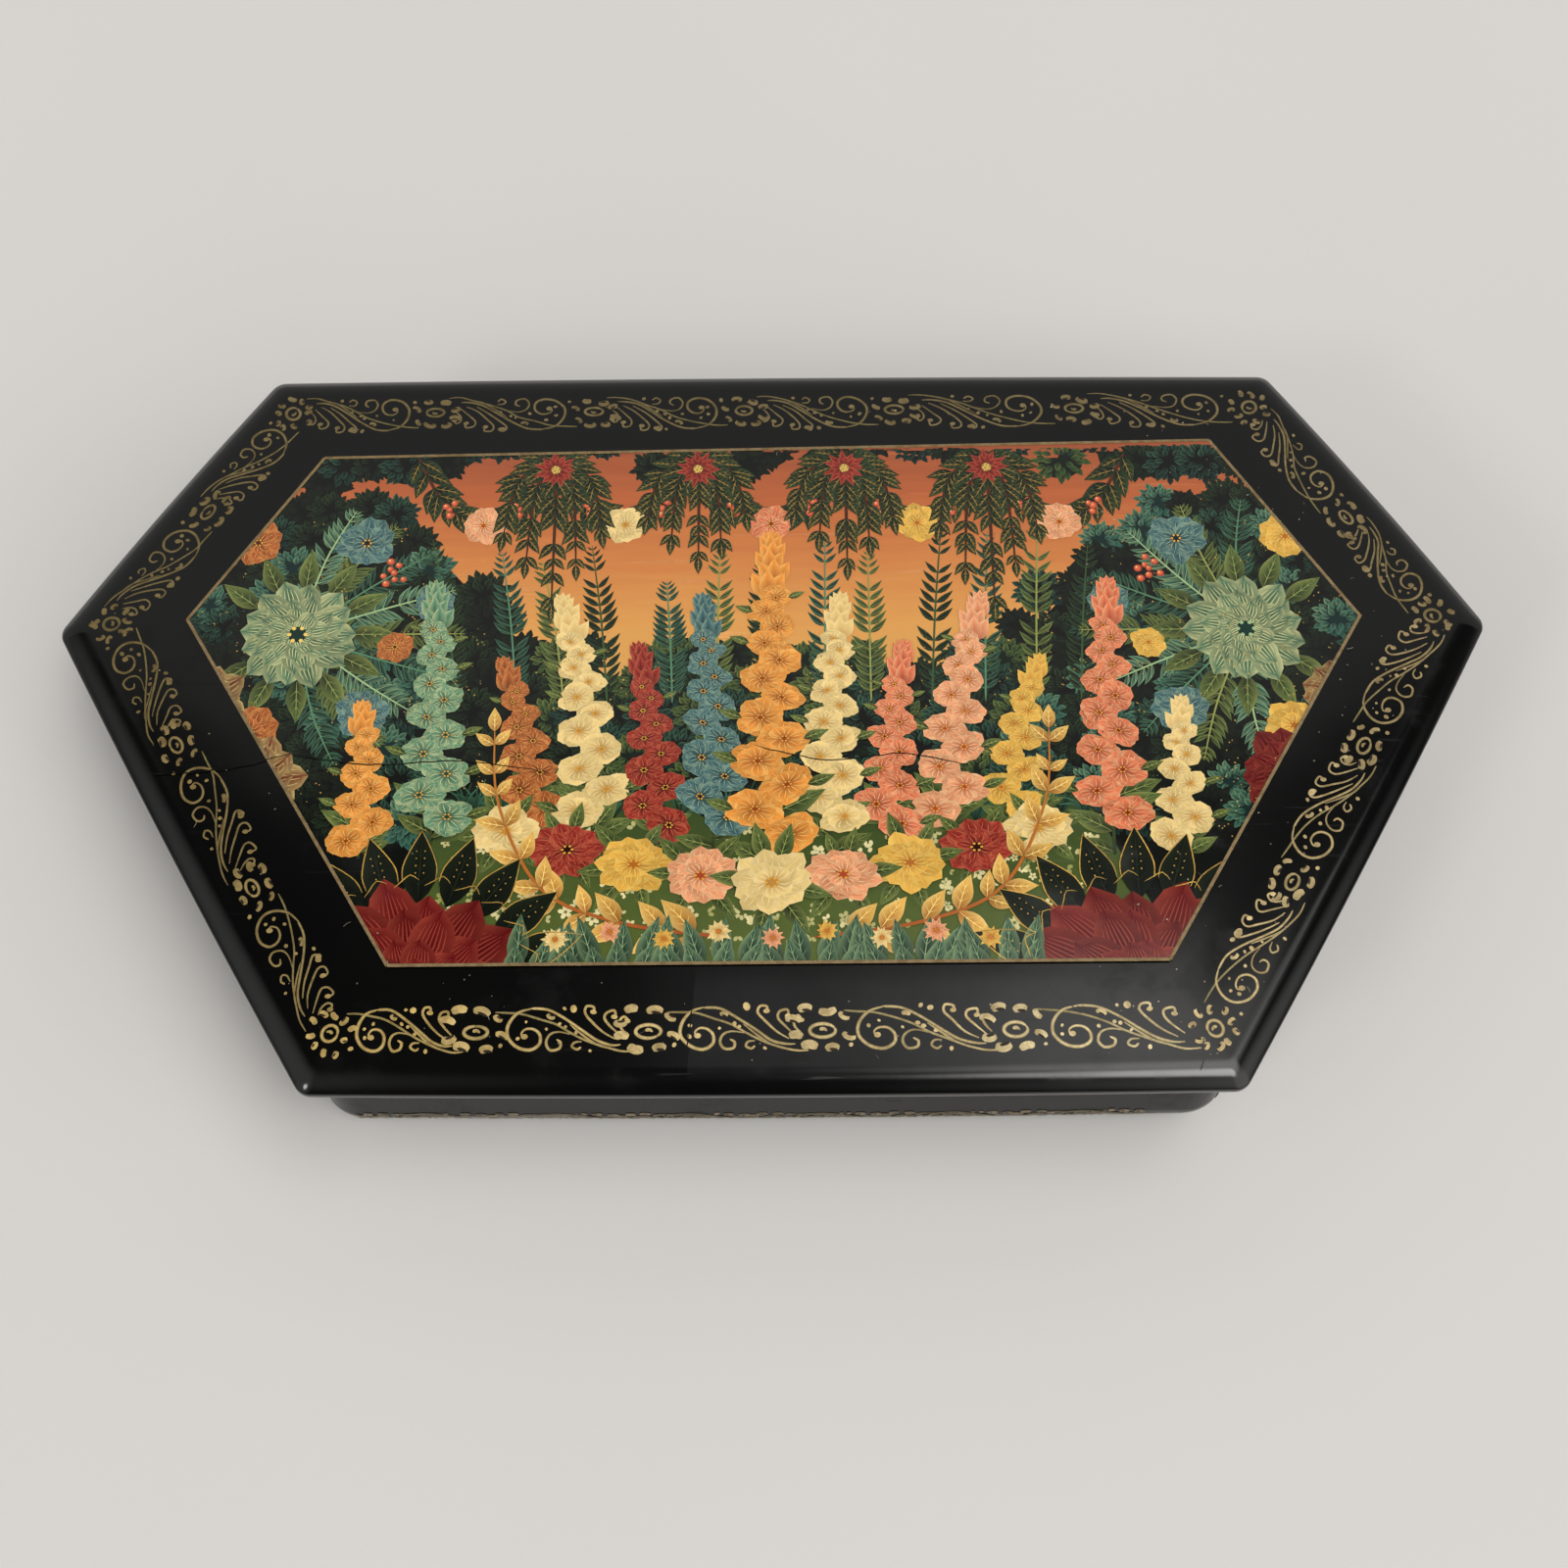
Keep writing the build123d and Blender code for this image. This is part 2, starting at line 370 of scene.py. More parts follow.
class Paint:
    """Brush marks of one finish. Each is a list of polygons of (x, y, colour)."""

    def __init__(self, name, surface, stack, border=None):
        self.name = name
        self.surface = surface
        self.stack = stack
        self.border = border
        self.points = []
        self.faces = []
        self.colours = []

    def lay(self, polygons):
        """Adds one mark, cut off at the border."""
        if self.border:
            polygons = [cut for cut in (clip(polygon, self.border) for polygon in polygons) if cut]
        if not polygons:
            return
        lift = PAINT_LIFT + FILM * self.stack.lay(polygons)
        places = {}
        for polygon in polygons:
            face = []
            for x, y, colour in polygon:
                key = (round(x, 5), round(y, 5), colour)
                if key not in places:
                    places[key] = len(self.points)
                    self.points.append(self.surface(x, y, lift))
                    self.colours.append(colour)
                face.append(places[key])
            tidy = [corner for index, corner in enumerate(face) if corner != face[index - 1]]
            if len(tidy) > 2:
                self.faces.append(tidy)

    def piece(self, material):
        """The finished mesh, with its colours on its points."""
        piece = make_mesh(self.name, self.points, self.faces, [material])
        layer = piece.data.color_attributes.new("paint", "FLOAT_COLOR", "POINT")
        flat = [value for colour in self.colours for value in (*colour, 1.0)]
        layer.data.foreach_set("color", flat)
        return piece


def half_planes(corners):
    """The inner side of each edge of an anticlockwise convex outline."""
    planes = []
    for index, (x, y) in enumerate(corners):
        x2, y2 = corners[(index + 1) % len(corners)]
        planes.append((x, y, -(y2 - y), x2 - x))
    return planes


def clip(polygon, planes):
    """The part of a polygon inside every half plane."""
    for px, py, nx, ny in planes:
        gaps = [(point[0] - px) * nx + (point[1] - py) * ny for point in polygon]
        if min(gaps) >= 0:
            continue
        if max(gaps) <= 0:
            return None
        kept = []
        for index, point in enumerate(polygon):
            before, gap_before, gap = polygon[index - 1], gaps[index - 1], gaps[index]
            if (gap_before < 0) != (gap < 0):
                share = gap_before / (gap_before - gap)
                colour = mix(before[2], point[2], share)
                kept.append((*mix(before[:2], point[:2], share), colour))
            if gap >= 0:
                kept.append(point)
        polygon = kept
        if len(polygon) < 3:
            return None
    return polygon


def curved(p, q, r, s, t):
    """A value a share of the way from the second to the third of four on one curve."""
    bend = (2 * p - 5 * q + 4 * r - s) * t * t + (3 * q - p - 3 * r + s) * t ** 3
    return 0.5 * (2 * q + (r - p) * t + bend)


def smooth(points, steps):
    """A smooth line through a few points."""
    if len(points) < 3:
        return list(points)
    line = []
    padded = [points[0], *points, points[-1]]
    for index in range(1, len(padded) - 2):
        a, b, c, d = padded[index - 1:index + 3]
        for step in range(steps):
            t = step / steps
            line.append(tuple(curved(*values, t) for values in zip(a, b, c, d)))
    line.append(tuple(points[-1]))
    return line


def turned(x, y, angle, along, across):
    """A point a way along and across a direction."""
    return (x + along * math.cos(angle) - across * math.sin(angle),
            y + along * math.sin(angle) + across * math.cos(angle))


def stroke(paint, points, width, colour, end_colour=None, lead=0.2, tail=0.4, thin=0.3, steps=5):
    """One tapered stroke of the brush along a line."""
    line = smooth(points, steps)
    end_colour = end_colour or colour
    last = len(line) - 1
    rows = []
    for index, (x, y) in enumerate(line):
        x1, y1 = line[max(index - 1, 0)]
        x2, y2 = line[min(index + 1, last)]
        length = math.hypot(x2 - x1, y2 - y1) or 1.0
        share = index / last
        swell = min(1.0, share / lead if lead else 1.0, (1 - share) / tail if tail else 1.0)
        half = width / 2 * (thin + (1 - thin) * math.sin(swell * math.pi / 2))
        nx, ny = -(y2 - y1) / length * half, (x2 - x1) / length * half
        rows.append(((x + nx, y + ny), (x - nx, y - ny), mix(colour, end_colour, share)))
    polygons = []
    for (left, right, tone), (next_left, next_right, next_tone) in zip(rows, rows[1:]):
        polygons.append([(*left, tone), (*right, tone), (*next_right, next_tone), (*next_left, next_tone)])
    paint.lay(polygons)


def dot(paint, x, y, radius, colour, stretch=1.0, angle=0.0, sides=8):
    """A round or oval touch of the brush."""
    ring = []
    for step in range(sides):
        turn = 2 * math.pi * step / sides
        spot = turned(x, y, angle, radius * stretch * math.cos(turn), radius * math.sin(turn))
        ring.append((*spot, colour))
    paint.lay([ring])


# Gold border

GOLD_BRIGHT = srgb(240, 192, 88)
GOLD_WORN = srgb(104, 94, 54)
GOLD_OLIVE = srgb(140, 132, 82)
UNDER_GOLD = srgb(40, 30, 14)
RUBBED_GOLD = srgb(168, 146, 128)
LINE_GOLD = srgb(150, 128, 90)

# The gold's tone where each side begins and ends, with painted light: brighter along the front and darker at
# the back and upper sides, as the light falls on the border
SIDE_GOLD_WITH_PAINTED_LIGHT = {
    "upper right": (srgb(160, 140, 98), srgb(158, 142, 102)),
    "back": (srgb(150, 132, 94), srgb(142, 124, 84)),
    "upper left": (srgb(146, 128, 86), srgb(134, 116, 74)),
    "lower left": (srgb(138, 119, 76), srgb(204, 176, 112)),
    "front": (srgb(240, 206, 126), srgb(250, 232, 186)),
    "lower right": (srgb(230, 206, 152), srgb(164, 142, 98)),
}

# The scroll is drawn for rosettes this far apart, and stretched to those of each side
SCROLL_PITCH = 22.4

# The brush is fullest along the front
FRONT_BRUSH, SIDE_BRUSH, CORNER_BRUSH = 1.0, 0.82, 0.9


def border_corner(index):
    """Where the border's middle lines of two sides meet."""
    before, after = PLAN[index - 1], PLAN[index]
    inset_before, inset = BORDER_INSETS[index - 1], BORDER_INSETS[index]
    along = (inset_before - inset * after[2].dot(before[2])) / after[1].dot(before[2])
    return after[0] + after[1] * along + after[2] * inset


def gilded(paint, points, width, tone, lead=0.25, tail=0.4, thin=0.4, steps=4):
    """One gold stroke: a worn wash with the fuller gold along its middle."""
    taper = {"lead": lead, "tail": tail, "thin": thin, "steps": steps}
    stroke(paint, points, width, mix(GOLD_WORN, tone, 0.25), **taper)
    stroke(paint, points, width * 0.62, tone, mix(tone, GOLD_WORN, 0.25), **taper)


def petal_touch(paint, place, u, v, length, width, degrees, tone, chance):
    """A bean-shaped touch of gold, often with a thin dark nick where the brush lifted."""
    angle = math.radians(degrees + chance.uniform(-14, 14))
    length *= chance.uniform(0.85, 1.12)
    bend = chance.choice((-1, 1)) * 0.16 * length
    ax, ay = math.cos(angle) * length / 2, math.sin(angle) * length / 2
    bx, by = -math.sin(angle) * bend, math.cos(angle) * bend
    points = [place(u - ax, v - ay), place(u + bx, v + by), place(u + ax, v + ay)]
    stroke(paint, points, width, mix(tone, GOLD_WORN, 0.35), tone, lead=0.3, tail=0.35, thin=0.5, steps=4)
    if chance.random() < 0.75:
        inner = [place(u + ax * share - bx * drop, v + ay * share - by * drop)
                 for share, drop in ((-0.45, 0.2), (0.15, 0.35), (0.8, 0.9))]
        stroke(paint, inner, width * 0.34, UNDER_GOLD, lead=0.3, tail=0.4, thin=0.3, steps=4)


# A rosette's petals: where they lie along and across the border, length, width, slant in degrees
PETALS = (
    (-1.95, 2.5, 1.65, 1.0, 8), (0.6, 2.45, 1.85, 0.95, -5), (2.6, 1.85, 1.3, 0.7, -45),
    (2.95, -0.55, 1.5, 0.75, -35), (1.2, -2.15, 1.6, 0.95, 8), (-1.5, -1.85, 1.8, 1.1, -8),
    (-3.2, -0.7, 1.7, 1.0, 12), (-3.35, 1.2, 1.7, 0.85, -12),
)


def rosette(paint, place, gold, chance, corner=False, fine=1.0):
    """An oval ring with a drop in it and a garland of bean-shaped petals."""
    wide, high = 1.0, 1.12
    if not corner:
        wide, high = 1.42 * chance.uniform(0.92, 1.05), 0.8 * chance.uniform(0.92, 1.12)
    wide, high = wide * fine, high * fine
    start = chance.uniform(0, 6.28)
    ring = []
    for step in range(14):
        angle = start + 2 * math.pi * step / 12.7
        ring.append(place(wide * math.cos(angle), high * math.sin(angle)))
    gilded(paint, ring, 0.46 * fine, gold(), lead=0.15, tail=0.2, thin=0.55, steps=3)
    comma = [place(-0.35 * fine, 0.1), place(0.1, 0.22 * fine), place(0.5 * fine, -0.05)]
    stroke(paint, comma, 0.42 * fine, gold(), gold(0.6), lead=0.25, tail=0.6, thin=0.3, steps=4)
    petals = PETALS
    if corner:
        petals = []
        for index in range(10):
            angle = math.radians(36 * index + chance.uniform(-9, 9))
            reach = chance.uniform(2.25, 2.95)
            petals.append((reach * math.cos(angle), reach * math.sin(angle), chance.uniform(0.95, 1.3), 0.74,
                           math.degrees(angle) + chance.uniform(-55, 55)))
    for u, v, length, width, way in petals:
        spot = u * fine + chance.uniform(-0.12, 0.12), v * fine + chance.uniform(-0.1, 0.1)
        petal_touch(paint, place, *spot, length * fine, width * fine, way, gold(), chance)


def scroll(paint, place, gold, chance, fine=1.0):
    """The scroll between two rosettes: a spiral and two stems that sweep to the next one."""
    def shaken(points, amount=0.07):
        return [place(*(value + chance.uniform(-amount, amount) for value in point)) for point in points]

    thin_stem = [(2.4, 2.4), (4.1, 2.35), (6.0, 2.15), (8.2, 1.6), (10.5, 0.8), (12.3, -0.15), (14.5, -1.1),
                 (16.8, -1.9), (18.9, -2.4), (20.6, -2.35)]
    stroke(paint, shaken(thin_stem, 0.09), 0.26 * fine, mix(gold(0.4), GOLD_OLIVE, 0.6), gold(0.6),
           lead=0.1, tail=0.15, thin=0.5, steps=4)
    spiral = [(6.1, -0.6), (6.0, -0.1), (6.6, 0.35), (7.6, 0.28), (8.35, -0.4), (8.3, -1.5), (7.1, -2.15),
              (5.4, -1.8), (4.2, -0.55), (4.25, 0.95), (5.4, 2.3), (7.1, 2.85)]
    gilded(paint, shaken(spiral, 0.05), 0.44 * fine, gold(), lead=0.55, tail=0.2, thin=0.45)
    sweep = [(7.0, 2.85), (9.2, 2.7), (11.5, 1.6), (14.0, 0.0), (15.8, -1.1), (17.6, -1.6), (18.9, -1.6)]
    gilded(paint, shaken(sweep, 0.05), 0.36 * fine, gold(0.9), lead=0.05, tail=0.25, thin=0.4)
    twin = [(12.2, 0.85), (13.9, -0.4), (15.6, -1.5), (17.2, -2.0)]
    stroke(paint, shaken(twin, 0.04), 0.26 * fine, gold(0.7), gold(0.4), lead=0.4, steps=4)
    dot(paint, *place(6.35, -0.55), 0.34, gold(), stretch=1.2)
    curl = [(12.3, -0.25), (10.7, 0.0), (9.6, -0.4), (9.2, -1.35), (9.8, -2.15), (10.9, -2.0), (11.1, -1.3),
            (10.5, -0.95)]
    stroke(paint, shaken(curl, 0.05), 0.32 * fine, gold(0.4), gold(0.9), lead=0.5, tail=0.15, thin=0.4,
           steps=4)
    small_curl = [(13.8, -1.25), (12.9, -1.25), (12.55, -1.75), (13.2, -2.15), (13.75, -1.8)]
    stroke(paint, shaken(small_curl, 0.07), 0.28 * fine, gold(0.5), gold(0.9), lead=0.4, tail=0.1, thin=0.5,
           steps=4)
    hooks = [((18.1, -0.95), (16.5, -0.1), (15.0, 1.2), (14.1, 2.25), (14.3, 3.0), (15.2, 3.05),
              (15.35, 2.5)),
             ((19.0, -0.65), (17.6, 0.6), (16.7, 1.55), (16.9, 2.35), (17.9, 2.55), (18.1, 1.9))]
    if fine < 1 or chance.random() < 0.4:
        hooks.append(((19.6, -0.2), (18.9, 0.5), (18.7, 1.3), (19.2, 1.8), (19.8, 1.4)))
    if fine < 1:
        hooks.append(((16.6, -0.9), (14.8, 0.2), (13.2, 1.5), (12.2, 2.5), (12.5, 3.1), (13.2, 2.9)))
    for hook in hooks:
        stroke(paint, shaken(hook), 0.3 * fine, gold(0.65), gold(0.95), lead=0.35, tail=0.1, thin=0.45,
               steps=4)
        dot(paint, *place(hook[-1][0] - 0.15, hook[-1][1] - 0.1), 0.29, gold(), stretch=1.35,
            angle=chance.uniform(-0.4, 0.4))
    petal_touch(paint, place, 9.7, 1.95, 1.15, 0.55, -20, gold(), chance)
    touches = ((9.2, 0.4, 0.22), (11.0, 1.0, 0.21), (11.8, 0.6, 0.24), (13.0, -0.05, 0.2),
               (6.55, 1.2, 0.2), (5.3, 0.55, 0.22), (5.35, -0.7, 0.26), (11.4, 2.9, 0.26),
               (12.7, 2.85, 0.4), (15.0, -2.15, 0.24), (3.4, -1.75, 0.24))
    for u, v, radius in touches:
        if chance.random() < 0.1:
            continue
        spot = place(u + chance.uniform(-0.16, 0.16), v + chance.uniform(-0.14, 0.14))
        dot(paint, *spot, radius * chance.uniform(0.75, 1.15), gold(), stretch=chance.uniform(1, 1.4),
            angle=chance.uniform(0, 3))


def border_place(begin, along, inward, stretch):
    """Puts a scroll's measures on the lid, stretched along a side."""
    def place(u, v):
        point = begin + along * (u * stretch) + inward * v
        return point.x, point.y

    return place


def gold_border(stack):
    """The gilded scroll border round the lid."""
    chance = random.Random(BORDER_HAND)
    paint = Paint("gold_border", on_lid, stack)
    for index, side in enumerate(SIDES):
        fine = FRONT_BRUSH if side == "front" else SIDE_BRUSH
        start, end = border_corner(index), border_corner((index + 1) % 6)
        stops = [0.0, *ROSETTES[side], 1.0]
        along, inward = (end - start).normalized(), PLAN[index][2]
        for first, last in zip(stops, stops[1:]):
            # Each scroll's gold takes its side's painted light, lighter at the front, with random wear over
            # it
            def gold(share=1.0, tone=mix(*SIDE_GOLD_WITH_PAINTED_LIGHT[side], first)):
                return mix(GOLD_WORN, tone, share * chance.uniform(0.6, 1.0))

            begin = start.lerp(end, first)
            pitch = (end - start).length * (last - first)
            scroll(paint, border_place(begin, along, inward, pitch / SCROLL_PITCH), gold, chance, fine)
            if first > 0:
                rosette(paint, border_place(begin, along, inward, 1.0), gold, chance, fine=fine)
            else:
                outward = (along - PLAN[index - 1][1]).normalized()
                place = border_place(begin, Vector((-outward.y, outward.x)), outward, 1.0)
                rosette(paint, place, gold, chance, corner=True, fine=CORNER_BRUSH)
    return paint


def on_lid(x, y, lift):
    """A point on the lid's top."""
    return x, y, lid_height(x, y) + lift


def picture_line(stack):
    """The thin line of dull gold round the picture."""
    paint = Paint("picture_line", on_lid, stack)
    for index, corner in enumerate(PICTURE):
        after = PICTURE[(index + 1) % 6]
        steps = 12
        points = [mix(corner, after, step / steps) for step in range(steps + 1)]
        stroke(paint, points, 0.4, LINE_GOLD, lead=0, tail=0, steps=1)
    return paint


# Body band

# How far it stays from the corners, how wide and high its motifs are against those of the lid
BAND_MARGIN = 6.5
BAND_PITCH = 15
BAND_SCALE = 0.5


def foot_inset(z):
    """How far the rolled foot of the walls draws in at a height."""
    below = max(FOOT_ROLL - z, 0.0)
    return FOOT_ROLL - math.sqrt(FOOT_ROLL ** 2 - below ** 2)


def body_surface(index):
    """Puts a mark on one outer wall: x along the wall, y up it."""
    start, along, inward, length = PLAN[index]

    def surface(x, y, lift):
        share = min(max(x / length, 0.0), 1.0)
        bow = WALL_BOW * 4 * share * (1 - share)
        inset = BODY_INSET + foot_inset(y) - bow - lift - WALL_BAND_LIFT
        point = start + along * x + inward * inset
        return point.x, point.y, y

    return surface


def wall_band(index, chance):
    """The gold scroll near the foot of one wall, almost rubbed away."""
    length = PLAN[index][3]
    paint = Paint(f"wall_band_{index + 1}", body_surface(index), Stack())
    count = round((length - 2 * BAND_MARGIN) / BAND_PITCH)
    pitch = (length - 2 * BAND_MARGIN) / count

    def gold(share=1.0):
        return mix(GOLD_WORN, RUBBED_GOLD, share * chance.uniform(0.1, 0.7))

    for motif in range(count):
        def place(u, v, left=BAND_MARGIN + motif * pitch, stretch=pitch / SCROLL_PITCH):
            return left + u * stretch, WALL_BAND_HEIGHT + v * BAND_SCALE

        scroll(paint, place, gold, chance)
        rosette(paint, place, gold, chance)
    return paint


# The picture: a flowering garden at dusk, in the colours of old tempera

INK = srgb(9, 14, 13)
NIGHT_GREEN = srgb(17, 29, 24)
DEEP_GREEN = srgb(30, 52, 38)
MOSS = srgb(148, 158, 92)
MINT = srgb(160, 202, 166)
PALE_MINT = srgb(204, 224, 190)
TEAL = srgb(42, 98, 98)
DARK_TEAL = srgb(16, 44, 48)
SEA_TEAL = srgb(78, 146, 130)
DUSK_BLUE = srgb(48, 98, 124)
CREAM = srgb(252, 240, 200)
BUTTER = srgb(246, 222, 132)
GOLD_YELLOW = srgb(230, 182, 84)
ORANGE = srgb(236, 154, 66)
SALMON = srgb(240, 162, 128)
CORAL = srgb(228, 118, 88)
ROSE = srgb(248, 200, 168)
RUST = srgb(164, 84, 48)
BROWN = srgb(84, 46, 30)
CRIMSON = srgb(140, 30, 36)

# Tones of a flower or leaf: its root, its body, its light tip
CREAM_TONES = (srgb(190, 146, 80), srgb(242, 222, 160), CREAM)
BUTTER_TONES = (srgb(178, 112, 44), GOLD_YELLOW, BUTTER)
ORANGE_TONES = (srgb(146, 66, 28), ORANGE, srgb(252, 208, 132))
CORAL_TONES = (srgb(140, 42, 32), CORAL, ROSE)
SALMON_TONES = (srgb(172, 76, 54), SALMON, srgb(252, 222, 192))
MAROON_TONES = (srgb(46, 8, 12), CRIMSON, srgb(206, 112, 92))
RUST_TONES = (srgb(80, 34, 20), RUST, srgb(232, 168, 104))
BLUE_TONES = (srgb(14, 34, 48), DUSK_BLUE, srgb(150, 190, 188))
MINT_TONES = (srgb(26, 74, 68), SEA_TEAL, PALE_MINT)
DIM_MINT_TONES = (srgb(16, 52, 50), srgb(58, 114, 102), srgb(212, 224, 182))
GOLD_LEAF_TONES = (srgb(150, 88, 32), srgb(228, 176, 80), srgb(254, 238, 168))
GREEN_TONES = (NIGHT_GREEN, srgb(50, 80, 50), srgb(146, 164, 100))
SHADE_TONES = (INK, NIGHT_GREEN, srgb(62, 92, 62))
POOL_TONES = (INK, DARK_TEAL, srgb(88, 142, 122))
LIGHT_HEAD_TONES = (DARK_TEAL, TEAL, MINT)
BLACK_LEAF_TONES = (INK, srgb(18, 26, 21), srgb(34, 46, 34))
DAMASK_TONES = (srgb(34, 6, 12), srgb(100, 15, 24), srgb(152, 66, 58))
BRONZE_TONES = (srgb(44, 22, 16), srgb(116, 62, 44), srgb(208, 196, 144))
HEM_TONES = (srgb(8, 24, 26), srgb(26, 66, 64), srgb(142, 180, 148))
GARLAND_RIB = srgb(150, 132, 74)

# What the heads of the hedge are painted with, at its ends and in its middle
END_HEDGE = (
    SHADE_TONES, SHADE_TONES, POOL_TONES, BLACK_LEAF_TONES, BLACK_LEAF_TONES,
    LIGHT_HEAD_TONES,
)
MIDDLE_HEDGE = (SHADE_TONES, GREEN_TONES, POOL_TONES)


class Tilted:
    """Lays marks squashed across one direction, as on a flower seen at a slant."""

    def __init__(self, paint, x, y, angle, squash):
        self.paint = paint
        self.x, self.y = x, y
        self.cos, self.sin = math.cos(angle), math.sin(angle)
        self.squash = squash

    def moved(self, point):
        """Where a point of a mark goes."""
        across = (point[1] - self.y) * self.cos - (point[0] - self.x) * self.sin
        lost = across * (1 - self.squash)
        return point[0] + lost * self.sin, point[1] - lost * self.cos, point[2]

    def lay(self, polygons):
        """Lays one squashed mark."""
        self.paint.lay([[self.moved(point) for point in polygon] for polygon in polygons])


def up_petal(x, y, angle, length, bend, t, aside=0.0):
    """A point a share of the way up a bent petal, and aside from its middle."""
    return turned(x, y, angle, length * t, bend * length * t * t + aside)


def along_line(line, share):
    """A point a share of the way along a line, and the line's direction there."""
    last = len(line) - 1
    spot = int(share * last)
    x1, y1 = line[max(spot - 1, 0)]
    x2, y2 = line[min(spot + 1, last)]
    return *line[spot], math.atan2(y2 - y1, x2 - x1)


def petal(paint, x, y, angle, length, width, tones, blunt=True, bend=0.0, steps=7, shade=1.0):
    """One petal or leaf from its root, dark in its fold and light at its tip and edges."""
    root, body, tip = tones
    rows = []
    for step in range(steps + 1):
        t = step / steps
        swell = math.sin(math.pi * t ** 1.5) ** 0.62 if blunt else math.sin(math.pi * t ** 0.8) ** 1.1
        half = width / 2 * max(swell, 0.0 if 0 < step < steps else 0.02)
        middle_tone = mix(root, body, min(t * 1.25, 1.0))
        edge_tone = mix(middle_tone, tip, 0.25 + 0.75 * t)
        row = []
        for side, tone in ((half, edge_tone), (0.0, middle_tone), (-half, mix(edge_tone, middle_tone, 0.45))):
            tone = tuple(value * shade for value in tone)
            row.append((*up_petal(x, y, angle, length, bend, t, side), tone))
        rows.append(row)
    polygons = []
    for one, two in zip(rows, rows[1:]):
        polygons.append([one[0], one[1], two[1], two[0]])
        polygons.append([one[1], one[2], two[2], two[1]])
    paint.lay(polygons)


def veins(paint, x, y, angle, length, width, colour, count, bend, thick):
    """Fine light strokes that follow a petal."""
    for index in range(count):
        lean = (index - (count - 1) / 2) / max(count - 1, 1)
        line = []
        for t in (0.3, 0.59, 0.88 - 0.16 * abs(lean)):
            spread = width * 0.6 * lean * math.sin(math.pi * t ** 1.4)
            line.append(up_petal(x, y, angle, length, bend, t, spread))
        stroke(paint, line, thick, colour, lead=0.3, tail=0.5, thin=0.3, steps=2)


def bloom(paint, chance, x, y, radius, petals, tones, rings=3, heart=GOLD_YELLOW, folds=3):
    """A full flower with rings of veined petals."""
    turn = chance.uniform(0, 6.28)
    for ring in range(rings):
        reach = radius * (1.0, 0.74, 0.5, 0.3)[ring]
        count = max(5, round(petals * (1.0, 0.85, 0.7, 0.5)[ring]))
        width = 2 * math.pi * reach / count * 1.15
        turn += math.pi / count * 1.1
        for index in range(count):
            angle = turn + 2 * math.pi * index / count + chance.uniform(-0.1, 0.1)
            length = reach * chance.uniform(0.86, 1.08)
            bend = chance.uniform(-0.08, 0.08)
            petal(paint, x, y, angle, length, width, tones, bend=bend, shade=chance.uniform(0.74, 1.06))
            veins(paint, x, y, angle, length, width, tones[2], folds, bend, 0.08 + 0.006 * radius)
    dot(paint, x, y, radius * 0.15, tones[0], sides=10)
    for index in range(6):
        angle = 2 * math.pi * index / 6
        dot(paint, *turned(x, y, angle, radius * 0.13, 0), radius * 0.03 + 0.05, heart, sides=6)


def daisy(paint, chance, x, y, radius, petals, tones, heart=ORANGE):
    """A flower of narrow pointed petals round a button of dots."""
    for layer, reach in ((0, radius), (1, radius * 0.74)):
        for index in range(petals):
            angle = 2 * math.pi * (index + 0.5 * layer) / petals + chance.uniform(-0.09, 0.09)
            length = reach * chance.uniform(0.86, 1.08)
            petal(paint, x, y, angle, length, 3.7 * radius / petals, tones, blunt=False, steps=5,
                  shade=chance.uniform(0.8, 1.05))
    dot(paint, x, y, radius * 0.22, mix(heart, BROWN, 0.6), sides=12)
    for index in range(8):
        reach = radius * 0.19 * math.sqrt((index + 0.5) / 8)
        dot(paint, *turned(x, y, 2.4 * index, reach, 0), radius * 0.045, heart, sides=6)


def leaf(paint, chance, x, y, angle, length, tones, width=None, bend=0.0, rib=None):
    """A pointed leaf with a light midrib and side veins."""
    width = width or length * 0.42
    petal(paint, x, y, angle, length, width, tones, blunt=False, bend=bend, shade=chance.uniform(0.8, 1.1))
    rib = rib or tones[2]
    line = [up_petal(x, y, angle, length, bend, t) for t in (0.05, 0.5, 0.9)]
    stroke(paint, line, 0.12, rib, lead=0.1, tail=0.6, steps=2)
    for t in (0.25, 0.45, 0.63):
        for side in (-1, 1):
            foot = up_petal(x, y, angle, length, bend, t)
            spread = side * width * 0.32 * (1.15 - t)
            head = turned(x, y, angle, length * (t + 0.14), bend * length * t * t + spread)
            stroke(paint, [foot, head], 0.08, rib, lead=0, tail=0.8, steps=1)


def spray(paint, chance, points, leaf_length, pairs, tones, stem=BROWN, width=0.42, spread=0.85, rib=None):
    """A branch with leaves on both sides, smaller towards its tip."""
    line = smooth(points, 8)
    stroke(paint, points, 0.45, stem, mix(stem, tones[1], 0.4), lead=0.05, tail=0.6, thin=0.3, steps=8)
    for index in range(pairs):
        share = 0.1 + 0.86 * index / max(pairs - 1, 1)
        x, y, way = along_line(line, share)
        size = leaf_length * (1.0 - 0.45 * share) * chance.uniform(0.8, 1.12)
        for side in (-1, 1):
            leaf(paint, chance, x, y, way + side * spread * chance.uniform(0.8, 1.2), size, tones,
                 width=size * width, bend=-0.12 * side, rib=rib)
    x, y = line[-1]
    x1, y1 = line[-3]
    size = leaf_length * 0.6
    leaf(paint, chance, x, y, math.atan2(y - y1, x - x1), size, tones, width=size * width, rib=rib)


